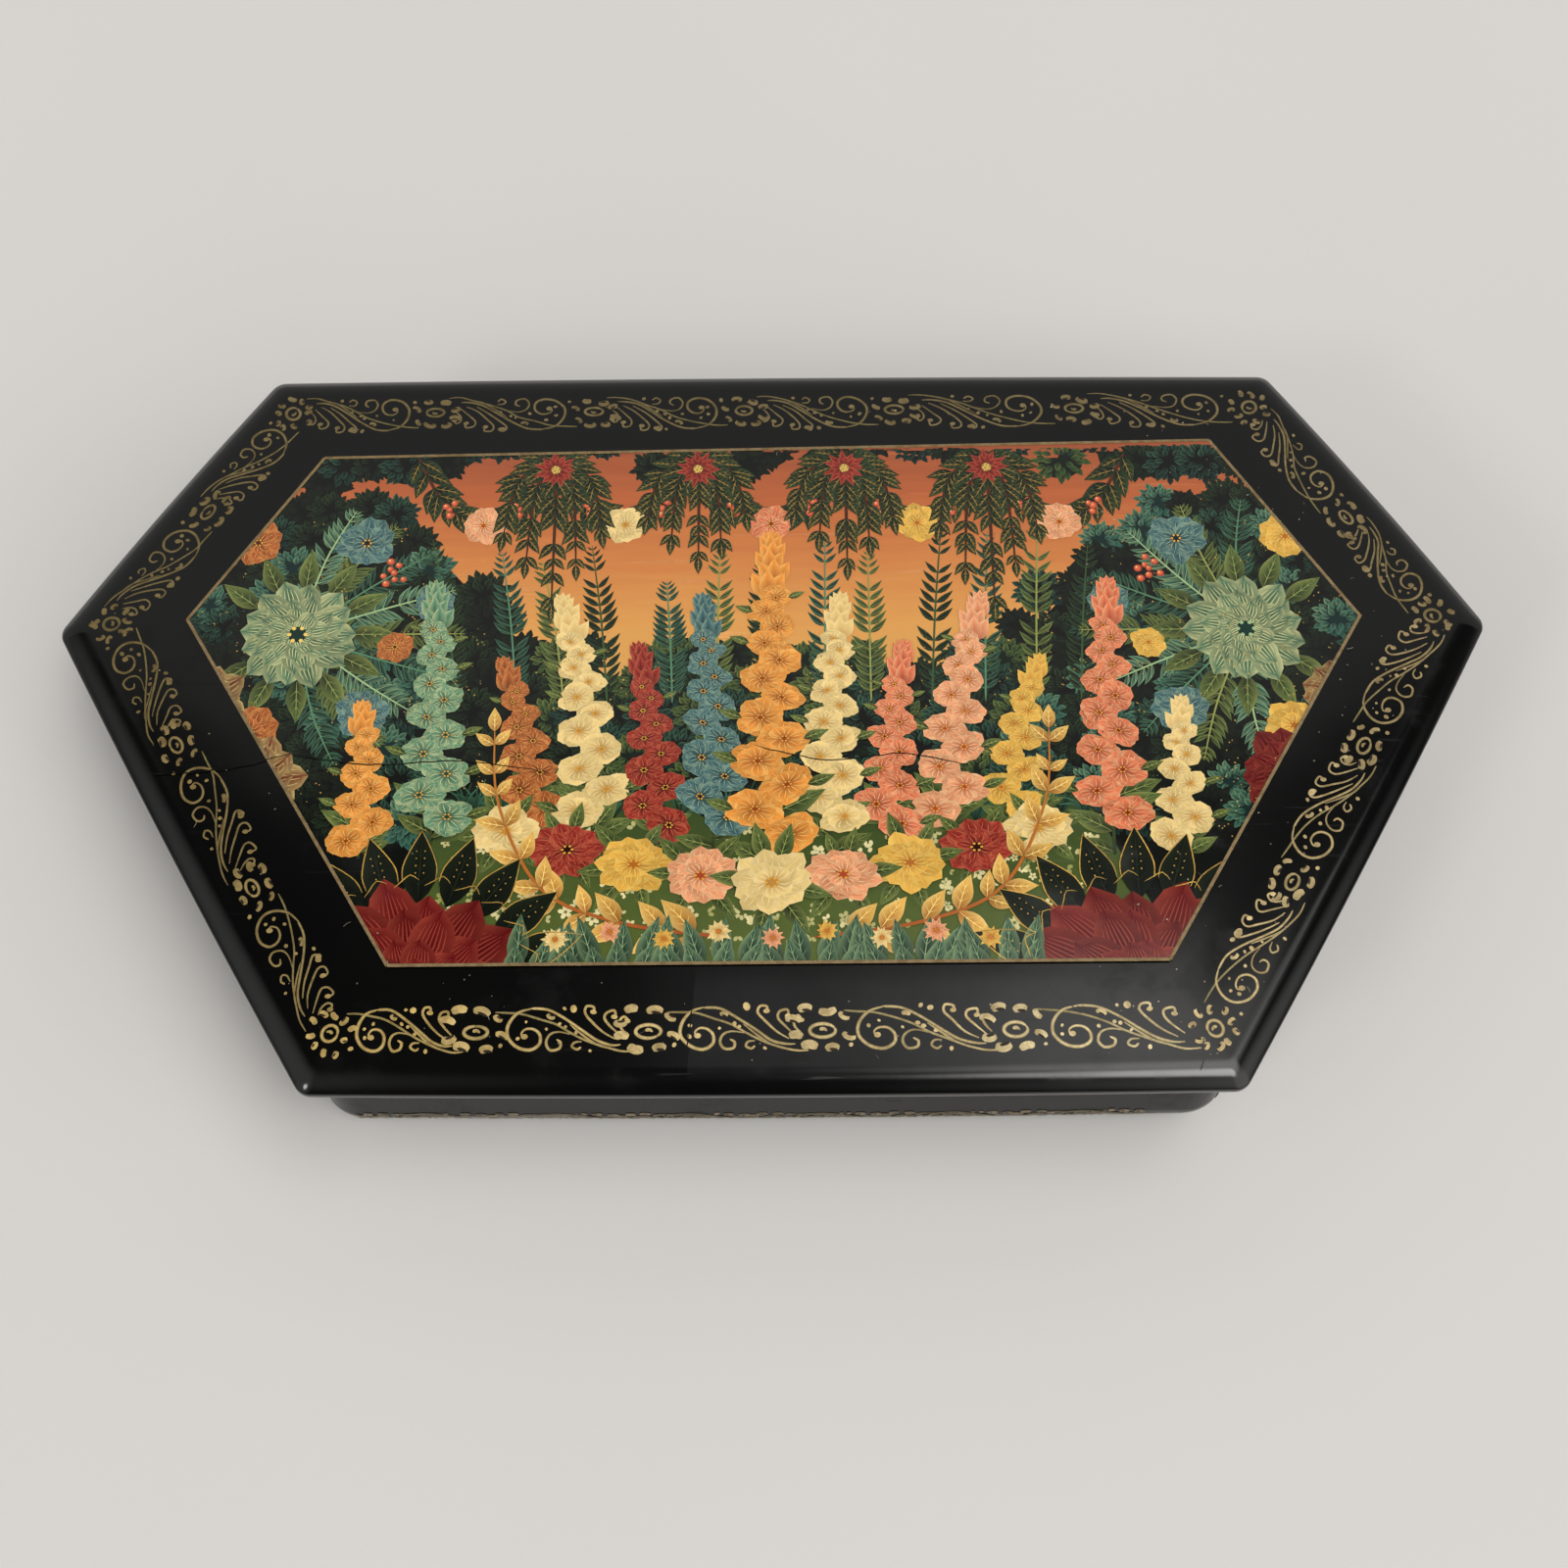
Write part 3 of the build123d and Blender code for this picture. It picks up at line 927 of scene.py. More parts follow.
def fern(paint, chance, points, reach, count, tones):
    """A long frond: a curved rib with slim leaflets that shorten to its tip."""
    line = smooth(points, 10)
    for index in range(count):
        share = 0.1 + 0.88 * index / (count - 1)
        x, y, way = along_line(line, share)
        size = reach * math.sin(math.pi * (0.16 + 0.8 * share)) ** 0.7
        for side in (-1, 1):
            petal(paint, x, y, way + side, size, size * 0.3, tones, blunt=False, bend=-0.2 * side, steps=5,
                  shade=chance.uniform(0.8, 1.1))
            tip = turned(x, y, way + side, size * 0.7, 0)
            stroke(paint, [(x, y), tip], 0.09, tones[2], lead=0, tail=0.7, steps=1)
    stroke(paint, points, 0.24, tones[2], lead=0.05, tail=0.5, steps=8)


def crown(paint, chance, x, y, radius, tones, leaves=38):
    """A round head of leaves, laid from its rim inwards, lightest towards its upper left."""
    dark, body, light = tones
    dot(paint, x, y, radius * 0.86, dark, sides=16)
    turn = chance.uniform(0, 6.28)
    for index in range(leaves):
        rim = math.sqrt(1 - index / leaves)
        angle = turn + 2.4 * index
        px, py = x + radius * 0.8 * rim * math.cos(angle), y + radius * 0.74 * rim * math.sin(angle)
        lit = 0.5 + 0.55 * (py - y - 0.5 * (px - x)) / radius
        tip = mix(body, light, min(max(lit * chance.uniform(0.5, 1.3), 0.0), 1.0))
        way = angle + chance.uniform(-0.4, 0.4)
        petal(paint, px, py, way, radius * 0.42, radius * 0.27, (dark, body, tip), blunt=False, steps=4)


def spike(paint, chance, x, y, height, width, tones, lean=0.0):
    """A tall stalk of ruffled flowers, broad below and ending in buds."""
    def spot(share):
        return x + lean * height * share * share, y + height * share

    stroke(paint, [spot(0), spot(0.5), spot(1)], 0.4, DEEP_GREEN, MOSS, lead=0, tail=0.5)
    for side in (-1, 1, -1, 1):
        way = math.pi / 2 - side * chance.uniform(0.6, 1.3)
        foot = spot(chance.uniform(0.0, 0.2))
        leaf(paint, chance, *foot, way, width * chance.uniform(0.6, 0.9), GREEN_TONES)
    share, side = 1.0, 1
    while share > 0.1:
        grown = (1 - share) ** 0.55
        size = width / 2 * (0.24 + 0.7 * grown)
        cx, cy = spot(share)
        cx += side * size * 0.6 * grown
        if share > 0.84:
            for lean_out in (-0.5, 0.5, 0.0):
                way = math.pi / 2 + lean_out
                petal(paint, cx, cy - size, way, size * 2.1, size * 1.1, tones, blunt=False, steps=5)
        else:
            slanted = Tilted(paint, cx, cy, chance.uniform(-0.5, 0.5), chance.uniform(0.68, 0.9))
            bloom(slanted, chance, cx, cy, size, 8, tones, rings=2)
            if chance.random() < 0.4:
                leaf(paint, chance, cx + side * size * 0.7, cy, math.pi / 2 - side * 1.2, size, GREEN_TONES)
        share -= size * 0.92 / height
        side = -side


def tuft(paint, chance, x, y, height, blades, tones):
    """A tuft of curved grass blades."""
    for index in range(blades):
        lean = (index / (blades - 1) - 0.5) * 1.5 + chance.uniform(-0.08, 0.08)
        reach = height * (1 - 0.3 * abs(lean)) * chance.uniform(0.85, 1.1)
        way = math.pi / 2 - lean
        line = [(x, y), turned(x, y, way, reach * 0.55, 0), turned(x, y, way - lean * 0.5, reach, 0)]
        tip = mix(tones[1], tones[2], chance.random())
        stroke(paint, line, 0.3, tones[0], tip, lead=0.1, tail=0.8, thin=0.15, steps=4)


def berries(paint, chance, x, y, count, spread, tone):
    """A loose cluster of berries, each with its glint."""
    for index in range(count):
        angle = 2.4 * index + chance.uniform(-0.2, 0.2)
        reach = spread * math.sqrt(index / count)
        bx, by = turned(x, y, angle, reach, 0)
        size = chance.uniform(0.4, 0.55)
        dot(paint, bx, by, size, mix(tone, CRIMSON, 0.6), sides=10)
        dot(paint, bx - 0.06, by + 0.06, size * 0.7, tone, sides=8)
        dot(paint, bx - 0.15, by + 0.17, size * 0.22, CREAM, sides=6)


def sky_streaks(paint, chance):
    """Long thin clouds drawn with a nearly dry brush."""
    for _ in range(40):
        y = chance.uniform(8, 37)
        x = chance.uniform(-50, 50)
        length = chance.uniform(6, 17)
        tone = srgb(*mix((236, 184, 122), (184, 106, 76), min(max((y - 8) / 26, 0), 1)))
        line = [(x, y), (x + length * 0.4, y + chance.uniform(-0.3, 0.4)),
                (x + length, y + chance.uniform(-0.4, 0.4))]
        stroke(paint, line, chance.uniform(0.2, 0.6), tone, lead=0.4, tail=0.6, thin=0.1, steps=4)


def hedge_top(x):
    """How high the dark hedge stands: low behind the bouquet, up to the frame at both ends."""
    share = min(max((abs(x) - 20) / 34, 0.0), 1.0)
    return 7 + 26 * share * share * (3 - 2 * share)


def hedge(paint, chance):
    """A clipped hedge in black shade and teal, drawn as rows of leafy heads from back to front."""
    step = 4
    wash_strips = []
    for x in range(-76, 76, step):
        corners = ((x, -40), (x + step, -40), (x + step, hedge_top(x + step) - 5), (x, hedge_top(x) - 5))
        wash_strips.append([(px, py, INK) for px, py in corners])
    paint.lay(wash_strips)
    pitch = 4.4
    for row in range(12):
        for column in range(35):
            x = -76 + (column + 0.5 * (row % 2)) * pitch + chance.uniform(-1, 1)
            y = 33 - row * pitch + chance.uniform(-1, 1)
            if y > hedge_top(x) + chance.uniform(-2.5, 0.5) or (abs(x) < 30 and y < -14):
                continue
            tones = chance.choice(END_HEDGE if abs(x) > 30 else MIDDLE_HEDGE)
            crown(paint, chance, x, y, pitch * chance.uniform(0.6, 0.82), tones)


def canopy(paint, chance):
    """Dark boughs that close the picture along its top, and fronds that rise out of the hedge."""
    for index in range(13):
        x = -39 + 6.5 * index + chance.uniform(-1, 1)
        lean = x * 0.09 + chance.uniform(-1.5, 1.5)
        top = chance.uniform(17, 25) + 4 * (index % 2)
        fern(paint, chance, [(x, 0), (x + lean * 0.4, top * 0.5), (x + lean, top)], 3.0, 16,
             (SHADE_TONES, POOL_TONES, GREEN_TONES)[index % 3])
    for row, y in enumerate((38.4, 35.4)):
        for column in range(27):
            x = -58.5 + 4.5 * (column + 0.5 * (row % 2)) + chance.uniform(-1, 1)
            if chance.random() < (0.3, 0.75)[row] and abs(x) < 44:
                continue
            tones = chance.choice((SHADE_TONES, SHADE_TONES, BLACK_LEAF_TONES, GREEN_TONES, POOL_TONES))
            crown(paint, chance, x, y + chance.uniform(-0.8, 0.8), chance.uniform(2.6, 3.5), tones, leaves=30)


def meadow(paint, chance):
    """The lawn in front of the hedge, with tiny flowers strewn over it."""
    near, far = srgb(96, 116, 62), srgb(52, 76, 44)
    paint.lay([[(-50, -38, near), (50, -38, near), (38, -13, far), (-38, -13, far)]])
    for x in range(-38, 42, 3):
        foot = x + chance.uniform(-1, 1), -15 + chance.uniform(-1.5, 1)
        tuft(paint, chance, *foot, 4.4, 8, (INK, DEEP_GREEN, SEA_TEAL))
    for _ in range(300):
        x, y = chance.uniform(-40, 40), chance.uniform(-34, -17)
        tone = mix(MOSS, srgb(240, 240, 204), chance.random() ** 0.6)
        way = chance.uniform(0, 6.28)
        size = chance.uniform(0.3, 0.6)
        for petal_index in range(chance.choice((2, 3, 5))):
            spot = turned(x, y, way + 1.25 * petal_index, size, 0)
            dot(paint, *spot, size * 0.55, tone, stretch=1.4, angle=way + 1.25 * petal_index, sides=6)


def tip_flowers(paint, chance):
    """A great blossom at each end of the picture, with fronds that fan out towards the middle."""
    small_blooms = ((1.05, 15.5, 3.8), (2.0, 15.0, 3.4), (-0.9, 14.5, 3.6), (-1.9, 14.5, 3.8),
                    (0.25, 17.5, 2.8), (-0.15, 12.5, 2.4))
    frond_tones = (POOL_TONES, GREEN_TONES, LIGHT_HEAD_TONES)
    for side, heart, other_tones in ((-1, BUTTER, RUST_TONES), (1, MINT, BUTTER_TONES)):
        x, y = side * 59.5, 10.0
        inward = math.pi if side > 0 else 0.0
        for index in range(9):
            way = inward + (index - 4) * 0.36
            middle = turned(x, y, way, 11, side * (index - 4) * 0.3)
            end = turned(x, y, way, 21 - 0.5 * abs(index - 4), side * (index - 4) * 0.9)
            fern(paint, chance, [(x, y), middle, end], 3.3, 15, frond_tones[index % 3])
        for index in range(11):
            way = inward + (index - 5) * 0.5
            start = turned(x, y, way, 6.5, 0)
            leaf(paint, chance, *start, way, 6.0, GREEN_TONES, width=2.6)
        bloom(paint, chance, x, y, 7.8, 15, DIM_MINT_TONES, rings=4, heart=heart, folds=5)
        for index, (way, reach, radius) in enumerate(small_blooms):
            spot = turned(x, y, inward - side * way, reach, 0)
            bloom(paint, chance, *spot, radius, 10, (BLUE_TONES, other_tones)[index % 2])


def grove_spikes(paint, chance):
    """Tall flowers that stand between the bouquet and the end blossoms."""
    for side, outer, inner in ((-1, ORANGE_TONES, MINT_TONES), (1, CREAM_TONES, CORAL_TONES)):
        spike(paint, chance, side * 49.5, -21, 21, 6.4, outer, side * 0.05)
        spike(paint, chance, side * 41.0, -21, 38, 7.6, inner, side * 0.04)
        berries(paint, chance, side * 48.0, 19.0, 8, 2.0, CORAL)


def swag(paint, chance, left, right, top, sag, tones):
    """One loop of a hanging garland, with a flower at its lowest place."""
    middle, reach = (left + right) / 2, (right - left) / 2
    for hook, way in ((left, 1), (right, -1)):
        points = [(hook, top), (hook + way * reach * 0.45, top - sag * 0.75), (middle, top - sag)]
        spray(paint, chance, points, 4.8, 9, SHADE_TONES, width=0.46, spread=0.8, rib=GARLAND_RIB)
        berries(paint, chance, hook + way * reach * 0.5, top - sag * 0.8, 4, 1.3, CORAL)
    bloom(paint, chance, middle, top - sag - 0.5, 2.9, 10, tones)


def garland(paint, chance):
    """Garlands that hang along the top of the picture, with leafy tassels between their loops."""
    hooks = (-46, -28, -9.5, 9.5, 28, 46)
    loops = (SALMON_TONES, CREAM_TONES, CORAL_TONES, BUTTER_TONES, SALMON_TONES)
    for (left, right), tones in zip(zip(hooks, hooks[1:]), loops):
        swag(paint, chance, left, right, 36.5, 10.0, tones)
    for hook, length in zip(hooks[1:-1], (24, 19, 19, 24)):
        for lean in (-6.4, 6.2, -3.3, 3.1, 0.2):
            drop = length * (1 - 0.07 * abs(lean)) * chance.uniform(0.85, 1)
            points = [(hook, 37), (hook + lean * 0.75, 37 - drop * 0.35), (hook + lean, 37 - drop)]
            spray(paint, chance, points, 4.2, 11, SHADE_TONES, spread=0.7, rib=GARLAND_RIB)
        daisy(paint, chance, hook, 34.5, 2.9, 11, MAROON_TONES, heart=BUTTER)


def bouquet(paint, chance):
    """The bed of tall flowers in the middle, fanned out over a row of round ones."""
    spikes = (
        (-29, -17, 23, 6.4, RUST_TONES, BUTTER_TONES), (21.5, -19, 34, 7.4, SALMON_TONES, CREAM_TONES),
        (-14, -20, 28, 6.6, MAROON_TONES, CORAL_TONES), (7, -21, 36, 7.2, CREAM_TONES, BLUE_TONES),
    )
    for x, y, height, width, tones, other_tones in spikes:
        for side, side_tones in ((1, tones), (-1, other_tones)):
            spike(paint, chance, side * x, y, height, width, side_tones, side * x / 150)
    spike(paint, chance, 0, -23, 47, 8.6, ORANGE_TONES)
    rounds = (
        (32, -17.5, 4.4, CREAM_TONES), (24.5, -20, 4.6, MAROON_TONES), (16.5, -22, 4.8, BUTTER_TONES),
        (8.5, -23.5, 4.6, SALMON_TONES),
    )
    for x, y, radius, tones in rounds:
        for side in (-1, 1):
            round_flower(paint, chance, side * x, y, radius, tones)
    round_flower(paint, chance, 0, -24.5, 5.4, CREAM_TONES)


def round_flower(paint, chance, x, y, radius, tones):
    """A round flower seen a little from the side, over a ruff of leaves."""
    for turn in range(6):
        way = turn * 1.05 + chance.uniform(-0.3, 0.3)
        start = turned(x, y, way, radius * 0.5, 0)
        leaf(paint, chance, *start, way, radius * chance.uniform(0.8, 1.1), GREEN_TONES)
    slanted = Tilted(paint, x, y, chance.uniform(-0.2, 0.2), 0.82)
    bloom(slanted, chance, x, y, radius, 12, tones)


# The two great corner blossoms: their middles, their size, and the collar of dark leaves round each
CORNER_BLOSSOMS = ((-42, -38.5), (43.5, -38.5))
CORNER_RADIUS = 14.5
COLLAR_LEAVES = 11
COLLAR_LEAF_LENGTH = 9.5


def collar(x, y):
    """Where each leaf of a corner blossom's collar starts, and its direction."""
    for index in range(COLLAR_LEAVES):
        way = math.pi * (0.02 + 0.96 * index / (COLLAR_LEAVES - 1))
        start = turned(x, y, way, CORNER_RADIUS * 0.8, 0)
        yield *start, way


def corner_flowers(paint, chance):
    """Crimson blossoms in the lower corners, and gold-leaved sprays that part from the middle."""
    for side in (-1, 1):
        reach = ((5, -31.5), (18, -29.5), (27.5, -25), (33, -14), (34, -4))
        points = [(side * x, y) for x, y in reach]
        spray(paint, chance, points, 5.6, 11, GOLD_LEAF_TONES, stem=RUST, width=0.5, spread=0.95)
    for x, y in CORNER_BLOSSOMS:
        for start_x, start_y, way in collar(x, y):
            leaf(paint, chance, start_x, start_y, way, COLLAR_LEAF_LENGTH, BLACK_LEAF_TONES, width=4.2)
        bloom(paint, chance, x, y, CORNER_RADIUS, 17, DAMASK_TONES, rings=4, folds=7)
    for side, tones in ((-1, BRONZE_TONES), (1, DAMASK_TONES)):
        bloom(paint, chance, side * 70.5, 0.5, 5.6, 12, BRONZE_TONES, folds=4)
        bloom(paint, chance, side * 63.0, -10.5, 6.4, 12, tones, folds=4)


def leaf_hem(paint, chance):
    """A hem of upright leaves along the lower edge, with small flowers over it."""
    for row_y, length in ((-35.5, 6.6), (-37.0, 5.4)):
        for index in range(26):
            x = -30 + 2.4 * index + chance.uniform(-0.4, 0.4)
            way = math.pi / 2 - 0.35 * math.sin(index * 1.3) + chance.uniform(-0.1, 0.1)
            leaf(paint, chance, x, row_y, way, length * chance.uniform(0.88, 1.1), HEM_TONES, width=2.6)
    tones = (CREAM_TONES, SALMON_TONES, BUTTER_TONES)
    for index in range(9):
        x = -25.5 + 6.4 * index
        daisy(paint, chance, x, -31.6 + 0.9 * (index % 2), chance.uniform(1.4, 1.8), 10, tones[index % 3])


def gold_touches(paint, chance):
    """Fine gold lines and dots that finish the picture."""
    def gold():
        return mix(GOLD_WORN, GOLD_BRIGHT, chance.uniform(0.4, 1.0))

    for x, y in CORNER_BLOSSOMS:
        for start_x, start_y, way in collar(x, y):
            for side in (-1, 1):
                line = []
                for t in (0.3, 0.5, 0.75, 1.0):
                    half = 2.1 * math.sin(math.pi * t ** 0.8) ** 1.1
                    line.append(turned(start_x, start_y, way, COLLAR_LEAF_LENGTH * t, side * half))
                stroke(paint, line, 0.14, gold(), lead=0.2, tail=0.3, steps=3)
            for t in (0.42, 0.52, 0.62, 0.72):
                for side in (-0.5, 0.5):
                    spot = turned(start_x, start_y, way, COLLAR_LEAF_LENGTH * t, side)
                    dot(paint, *spot, 0.1, gold(), sides=5)
        for index in range(24):
            way = math.pi * index / 12
            line = [turned(x, y, way + step * 0.07, CORNER_RADIUS * (1.01 + 0.05 * math.sin(step * 1.6)), 0)
                    for step in range(4)]
            stroke(paint, line, 0.12, gold(), lead=0.3, tail=0.3, steps=2)
    for x_middle, wide, high, count in ((-54, 40, 44, 150), (54, 40, 44, 150), (0, 60, 12, 60)):
        for index in range(count):
            x = x_middle + wide * (chance.random() - 0.5)
            y = 4 + high * (chance.random() - 0.5)
            for spot in range(chance.choice((1, 1, 3, 4))):
                near = x + chance.uniform(-0.9, 0.9), y + chance.uniform(-0.9, 0.9)
                dot(paint, *near, chance.uniform(0.07, 0.12), gold(), sides=5)


def picture(stack):
    """The picture's brush marks, in the order in which a painter lays them."""
    chance = random.Random(PICTURE_HAND)
    inside = half_planes(PICTURE)
    layers = []
    for name, painters in (
        ("painted_sky_and_hedge", (sky_streaks, hedge, canopy)),
        ("painted_lawn_and_end_flowers", (meadow, tip_flowers, grove_spikes)),
        ("painted_garland", (garland,)),
        ("painted_bouquet", (bouquet,)),
        ("painted_corner_flowers", (corner_flowers, leaf_hem)),
    ):
        paint = Paint(name, on_lid, stack, inside)
        for painter in painters:
            painter(paint, chance)
        layers.append(paint)
    gilt = Paint("picture_gold_touches", on_lid, stack, inside)
    gold_touches(gilt, chance)
    return layers, gilt


def picture_ground(material):
    """The sheet of ground colour that the picture is painted on."""
    points = [(x, y, HEIGHT + GROUND_LIFT) for x, y in PICTURE]
    return make_mesh("picture_ground", points, [tuple(range(6))], [material])


# Age

DUST_SPECKS = 300

# Each hairline crack in the lacquer, from point to point
CRACKS = (
    [(-8.9, -35.0), (-9.4, -41), (-9.9, -46.6)],
    [(31.5, -35.0), (32.4, -38.0), (35.7, -41.1)],
    [(49.6, -44.0), (49.5, -46.3), (49.1, -48.0)],
    [(-75.4, -9.4), (-67, -8.9), (-58.9, -6.9)],
    [(-58.9, -6.9), (-49, -8.4), (-38, -8.0), (-27, -9.6)],
    [(-2, -6.2), (7, -8.2), (16, -7.4), (24, -9.0)],
)


def hairline_cracks(stack, chance):
    """Hair cracks in the lacquer, each a thin dark line."""
    paint = Paint("hairline_cracks", on_lid, stack)
    for points in CRACKS:
        line = smooth(points, 10)
        shaken = [(x + chance.uniform(-0.08, 0.08), y + chance.uniform(-0.08, 0.08)) for x, y in line]
        stroke(paint, shaken, 0.15, srgb(6, 6, 6), lead=0.1, tail=0.3, steps=1)
    return paint


def dust(stack, chance):
    """Specks of dust and lint caught on the lid, most of them at its right and front."""
    paint = Paint("dust_specks", on_lid, stack)
    placed = 0
    while placed < DUST_SPECKS:
        x, y = chance.uniform(-88, 88), chance.uniform(-48, 46)
        crowd = 0.15 + 0.5 * (x > 40) + 0.35 * (y < -30)
        if distance_in(x, y) < 3.4 or chance.random() > crowd:
            continue
        placed += 1
        grey = chance.uniform(70, 190)
        tone = srgb(grey, grey, grey * 0.96)
        if chance.random() < 0.12:
            way = chance.uniform(0, 6.28)
            reach = chance.uniform(0.5, 1.3)
            line = [(x, y), turned(x, y, way, reach * 0.5, 0.1), turned(x, y, way, reach, 0)]
            stroke(paint, line, 0.05, tone, lead=0.2, tail=0.4, steps=3)
        else:
            dot(paint, x, y, chance.uniform(0.04, 0.11), tone, stretch=chance.uniform(1, 1.6),
                angle=chance.uniform(0, 3), sides=5)
    return paint


# Finishes

LACQUER_BLACK = (0.0007, 0.0007, 0.0008)
LACQUER_CLOUD = (0.0016, 0.0015, 0.0013)
# Pale bluish grey painted into the black where the front border shows a sheen of reflected light
LACQUER_PAINTED_SHEEN = (0.0095, 0.0097, 0.01)
RED_SHADE = srgb(132, 25, 18)
RED_LIGHT = srgb(146, 31, 22)
BRISTLE_SHADE = (0.35, 0.3, 0.26)
OLD_VARNISH = (1.0, 0.88, 0.66)
GOLD_GRAIN = (0.36, 0.28, 0.16)
TABLE_PALE = (0.655, 0.645, 0.627)
TABLE_CLOUD = (0.667, 0.657, 0.639)

# The sky's tones from the middle of the picture up to this height
SKY_TOP = 37.0
SKY_TONES = (
    (0.0, srgb(218, 168, 92)),
    (0.3, srgb(222, 158, 84)),
    (0.55, srgb(208, 130, 70)),
    (0.8, srgb(186, 100, 58)),
    (1.0, srgb(160, 84, 53)),
)

# A painted sheen of reflected light on the front border: the slanting crack where it begins, and its soft
# ends at the right, back and front
SHEEN_CRACK = -6.65
SHEEN_SLANT = 0.067
SHEEN_END = (30.0, 52.0)
SHEEN_BACK = (-38.0, -34.0)
SHEEN_FRONT = (-48.9, -47.6)


# Materials

class Recipe:
    """The nodes of one material, group or world, with short ways to add what the finishes share."""

    def __init__(self, tree):
        self.nodes = tree.nodes
        self.links = tree.links

    def feed(self, node, inputs):
        """Feeds a node's inputs, by their names or places, from sockets or with plain values."""
        for label, value in inputs.items():
            if isinstance(value, bpy.types.NodeSocket):
                self.links.new(value, node.inputs[label])
            else:
                node.inputs[label].default_value = value

    def add(self, kind, inputs, **settings):
        """One node with its settings and inputs."""
        node = self.nodes.new("ShaderNode" + kind)
        for name, value in settings.items():
            setattr(node, name, value)
        self.feed(node, inputs)
        return node

    def place(self):
        """Where a point lies on its own object."""
        return self.add("TexCoord", {}).outputs["Object"]

    def apart(self, vector):
        """The X, Y and Z of a vector."""
        return self.add("SeparateXYZ", {"Vector": vector}).outputs

    def brush_colour(self):
        """The colour that the brush marks carry."""
        return self.add("VertexColor", {}, layer_name="paint").outputs["Color"]

    def maths(self, operation, *values):
        """One sum on values, each a socket or a number."""
        return self.add("Math", dict(enumerate(values)), operation=operation).outputs[0]

    def toward(self, vector, aim):
        """How far a vector reaches in one direction."""
        return self.add("VectorMath", {0: vector, 1: aim}, operation="DOT_PRODUCT").outputs["Value"]

    def noise(self, vector, scale, detail=3.0, roughness=0.55):
        """A cloudy value."""
        inputs = {"Vector": vector, "Scale": scale, "Detail": detail, "Roughness": roughness}
        return self.add("TexNoise", inputs).outputs["Fac"]

    def ranged(self, value, low, high, to_low=0.0, to_high=1.0, shape="SMOOTHSTEP"):
        """A value brought from one range to another and held inside it."""
        inputs = {"Value": value, "From Min": low, "From Max": high, "To Min": to_low, "To Max": to_high}
        return self.add("MapRange", inputs, interpolation_type=shape).outputs["Result"]

    def mixed(self, share, first, second, blend="MIX"):
        """A mix of two colours, each a socket or a plain colour."""
        one, other = [(*value, 1.0) if isinstance(value, tuple) else value for value in (first, second)]
        return self.add("Mix", {0: share, 6: one, 7: other}, data_type="RGBA", blend_type=blend).outputs[2]


def new_material(name):
    """An empty material, its recipe and its shader."""
    material = bpy.data.materials.new(name)
    material.use_nodes = True
    return material, Recipe(material.node_tree), material.node_tree.nodes["Principled BSDF"]


def new_group(name, inputs, outputs):
    """A shader node group with named value and vector sockets, its recipe, its entry and its exit."""
    tree = bpy.data.node_groups.new(name, "ShaderNodeTree")
    for label, kind, default in inputs:
        tree.interface.new_socket(name=label, in_out="INPUT", socket_type=kind).default_value = default
    for label, kind in outputs:
        tree.interface.new_socket(name=label, in_out="OUTPUT", socket_type=kind)
    return tree, Recipe(tree), tree.nodes.new("NodeGroupInput"), tree.nodes.new("NodeGroupOutput")


def build_polish_group():
    """The hand polish of the lacquer: faint waviness, smudges and hair scratches."""
    tree, recipe, entry, leave = new_group(
        "hand_polish",
        [("Waviness", "NodeSocketFloat", 1.0)],
        [("Normal", "NodeSocketVector"), ("Smudge", "NodeSocketFloat"), ("Scratch", "NodeSocketFloat")],
    )
    place = recipe.place()
    peel = recipe.maths("MULTIPLY", recipe.noise(place, 650.0, 2.0), 0.03)
    height = recipe.maths("ADD", recipe.noise(place, 55.0, 1.0), peel)
    scaled = recipe.maths("MULTIPLY", height, entry.outputs["Waviness"])
    bump = recipe.add("Bump", {"Strength": 1.0, "Distance": 0.06 * MM, "Height": scaled})
    slanted = {"Vector": place, "Rotation": (0.0, 0.0, 0.4), "Scale": (60.0, 1400.0, 200.0)}
    long_grain = recipe.add("Mapping", slanted)
    recipe.feed(leave, {
        "Normal": bump.outputs["Normal"],
        "Smudge": recipe.ranged(recipe.noise(place, 90.0, 5.0, 0.6), 0.5, 0.72),
        "Scratch": recipe.ranged(recipe.noise(long_grain.outputs["Vector"], 1.0, 2.0), 0.68, 0.74),
    })
    return tree


def build_inside_group():
    """A mask that is 1 inside the walls and 0 outside them."""
    tree, recipe, _, leave = new_group("inside_the_walls", [], [("Mask", "NodeSocketFloat")])
    place = recipe.place()
    least = None
    for start, _, inward, _ in PLAN:
        across = recipe.toward(place, (inward.x, inward.y, 0.0))
        gap = recipe.maths("SUBTRACT", across, start.dot(inward) * MM)
        least = gap if least is None else recipe.maths("MINIMUM", least, gap)
    within = recipe.maths("GREATER_THAN", least, (BODY_INSET + WALL_THICKNESS - RED_PAST_WALL) * MM)
    above = recipe.maths("GREATER_THAN", recipe.apart(place)["Z"], (BOTTOM_THICKNESS - RED_PAST_FLOOR) * MM)
    recipe.feed(leave, {"Mask": recipe.maths("MULTIPLY", within, above)})
    return tree


POLISH = build_polish_group()
INSIDE = build_inside_group()


def polished(recipe, shader, colour, low, high):
    """Puts a colour under the hand polish, which is rougher in its smudges and scratches."""
    polish = recipe.add("Group", {"Waviness": 1.0}, node_tree=POLISH)
    worst = recipe.maths("MAXIMUM", polish.outputs["Smudge"], polish.outputs["Scratch"])
    recipe.feed(shader, {
        "Base Color": colour,
        "Roughness": recipe.ranged(worst, 0.0, 1.0, low, high),
        "Normal": polish.outputs["Normal"],
    })


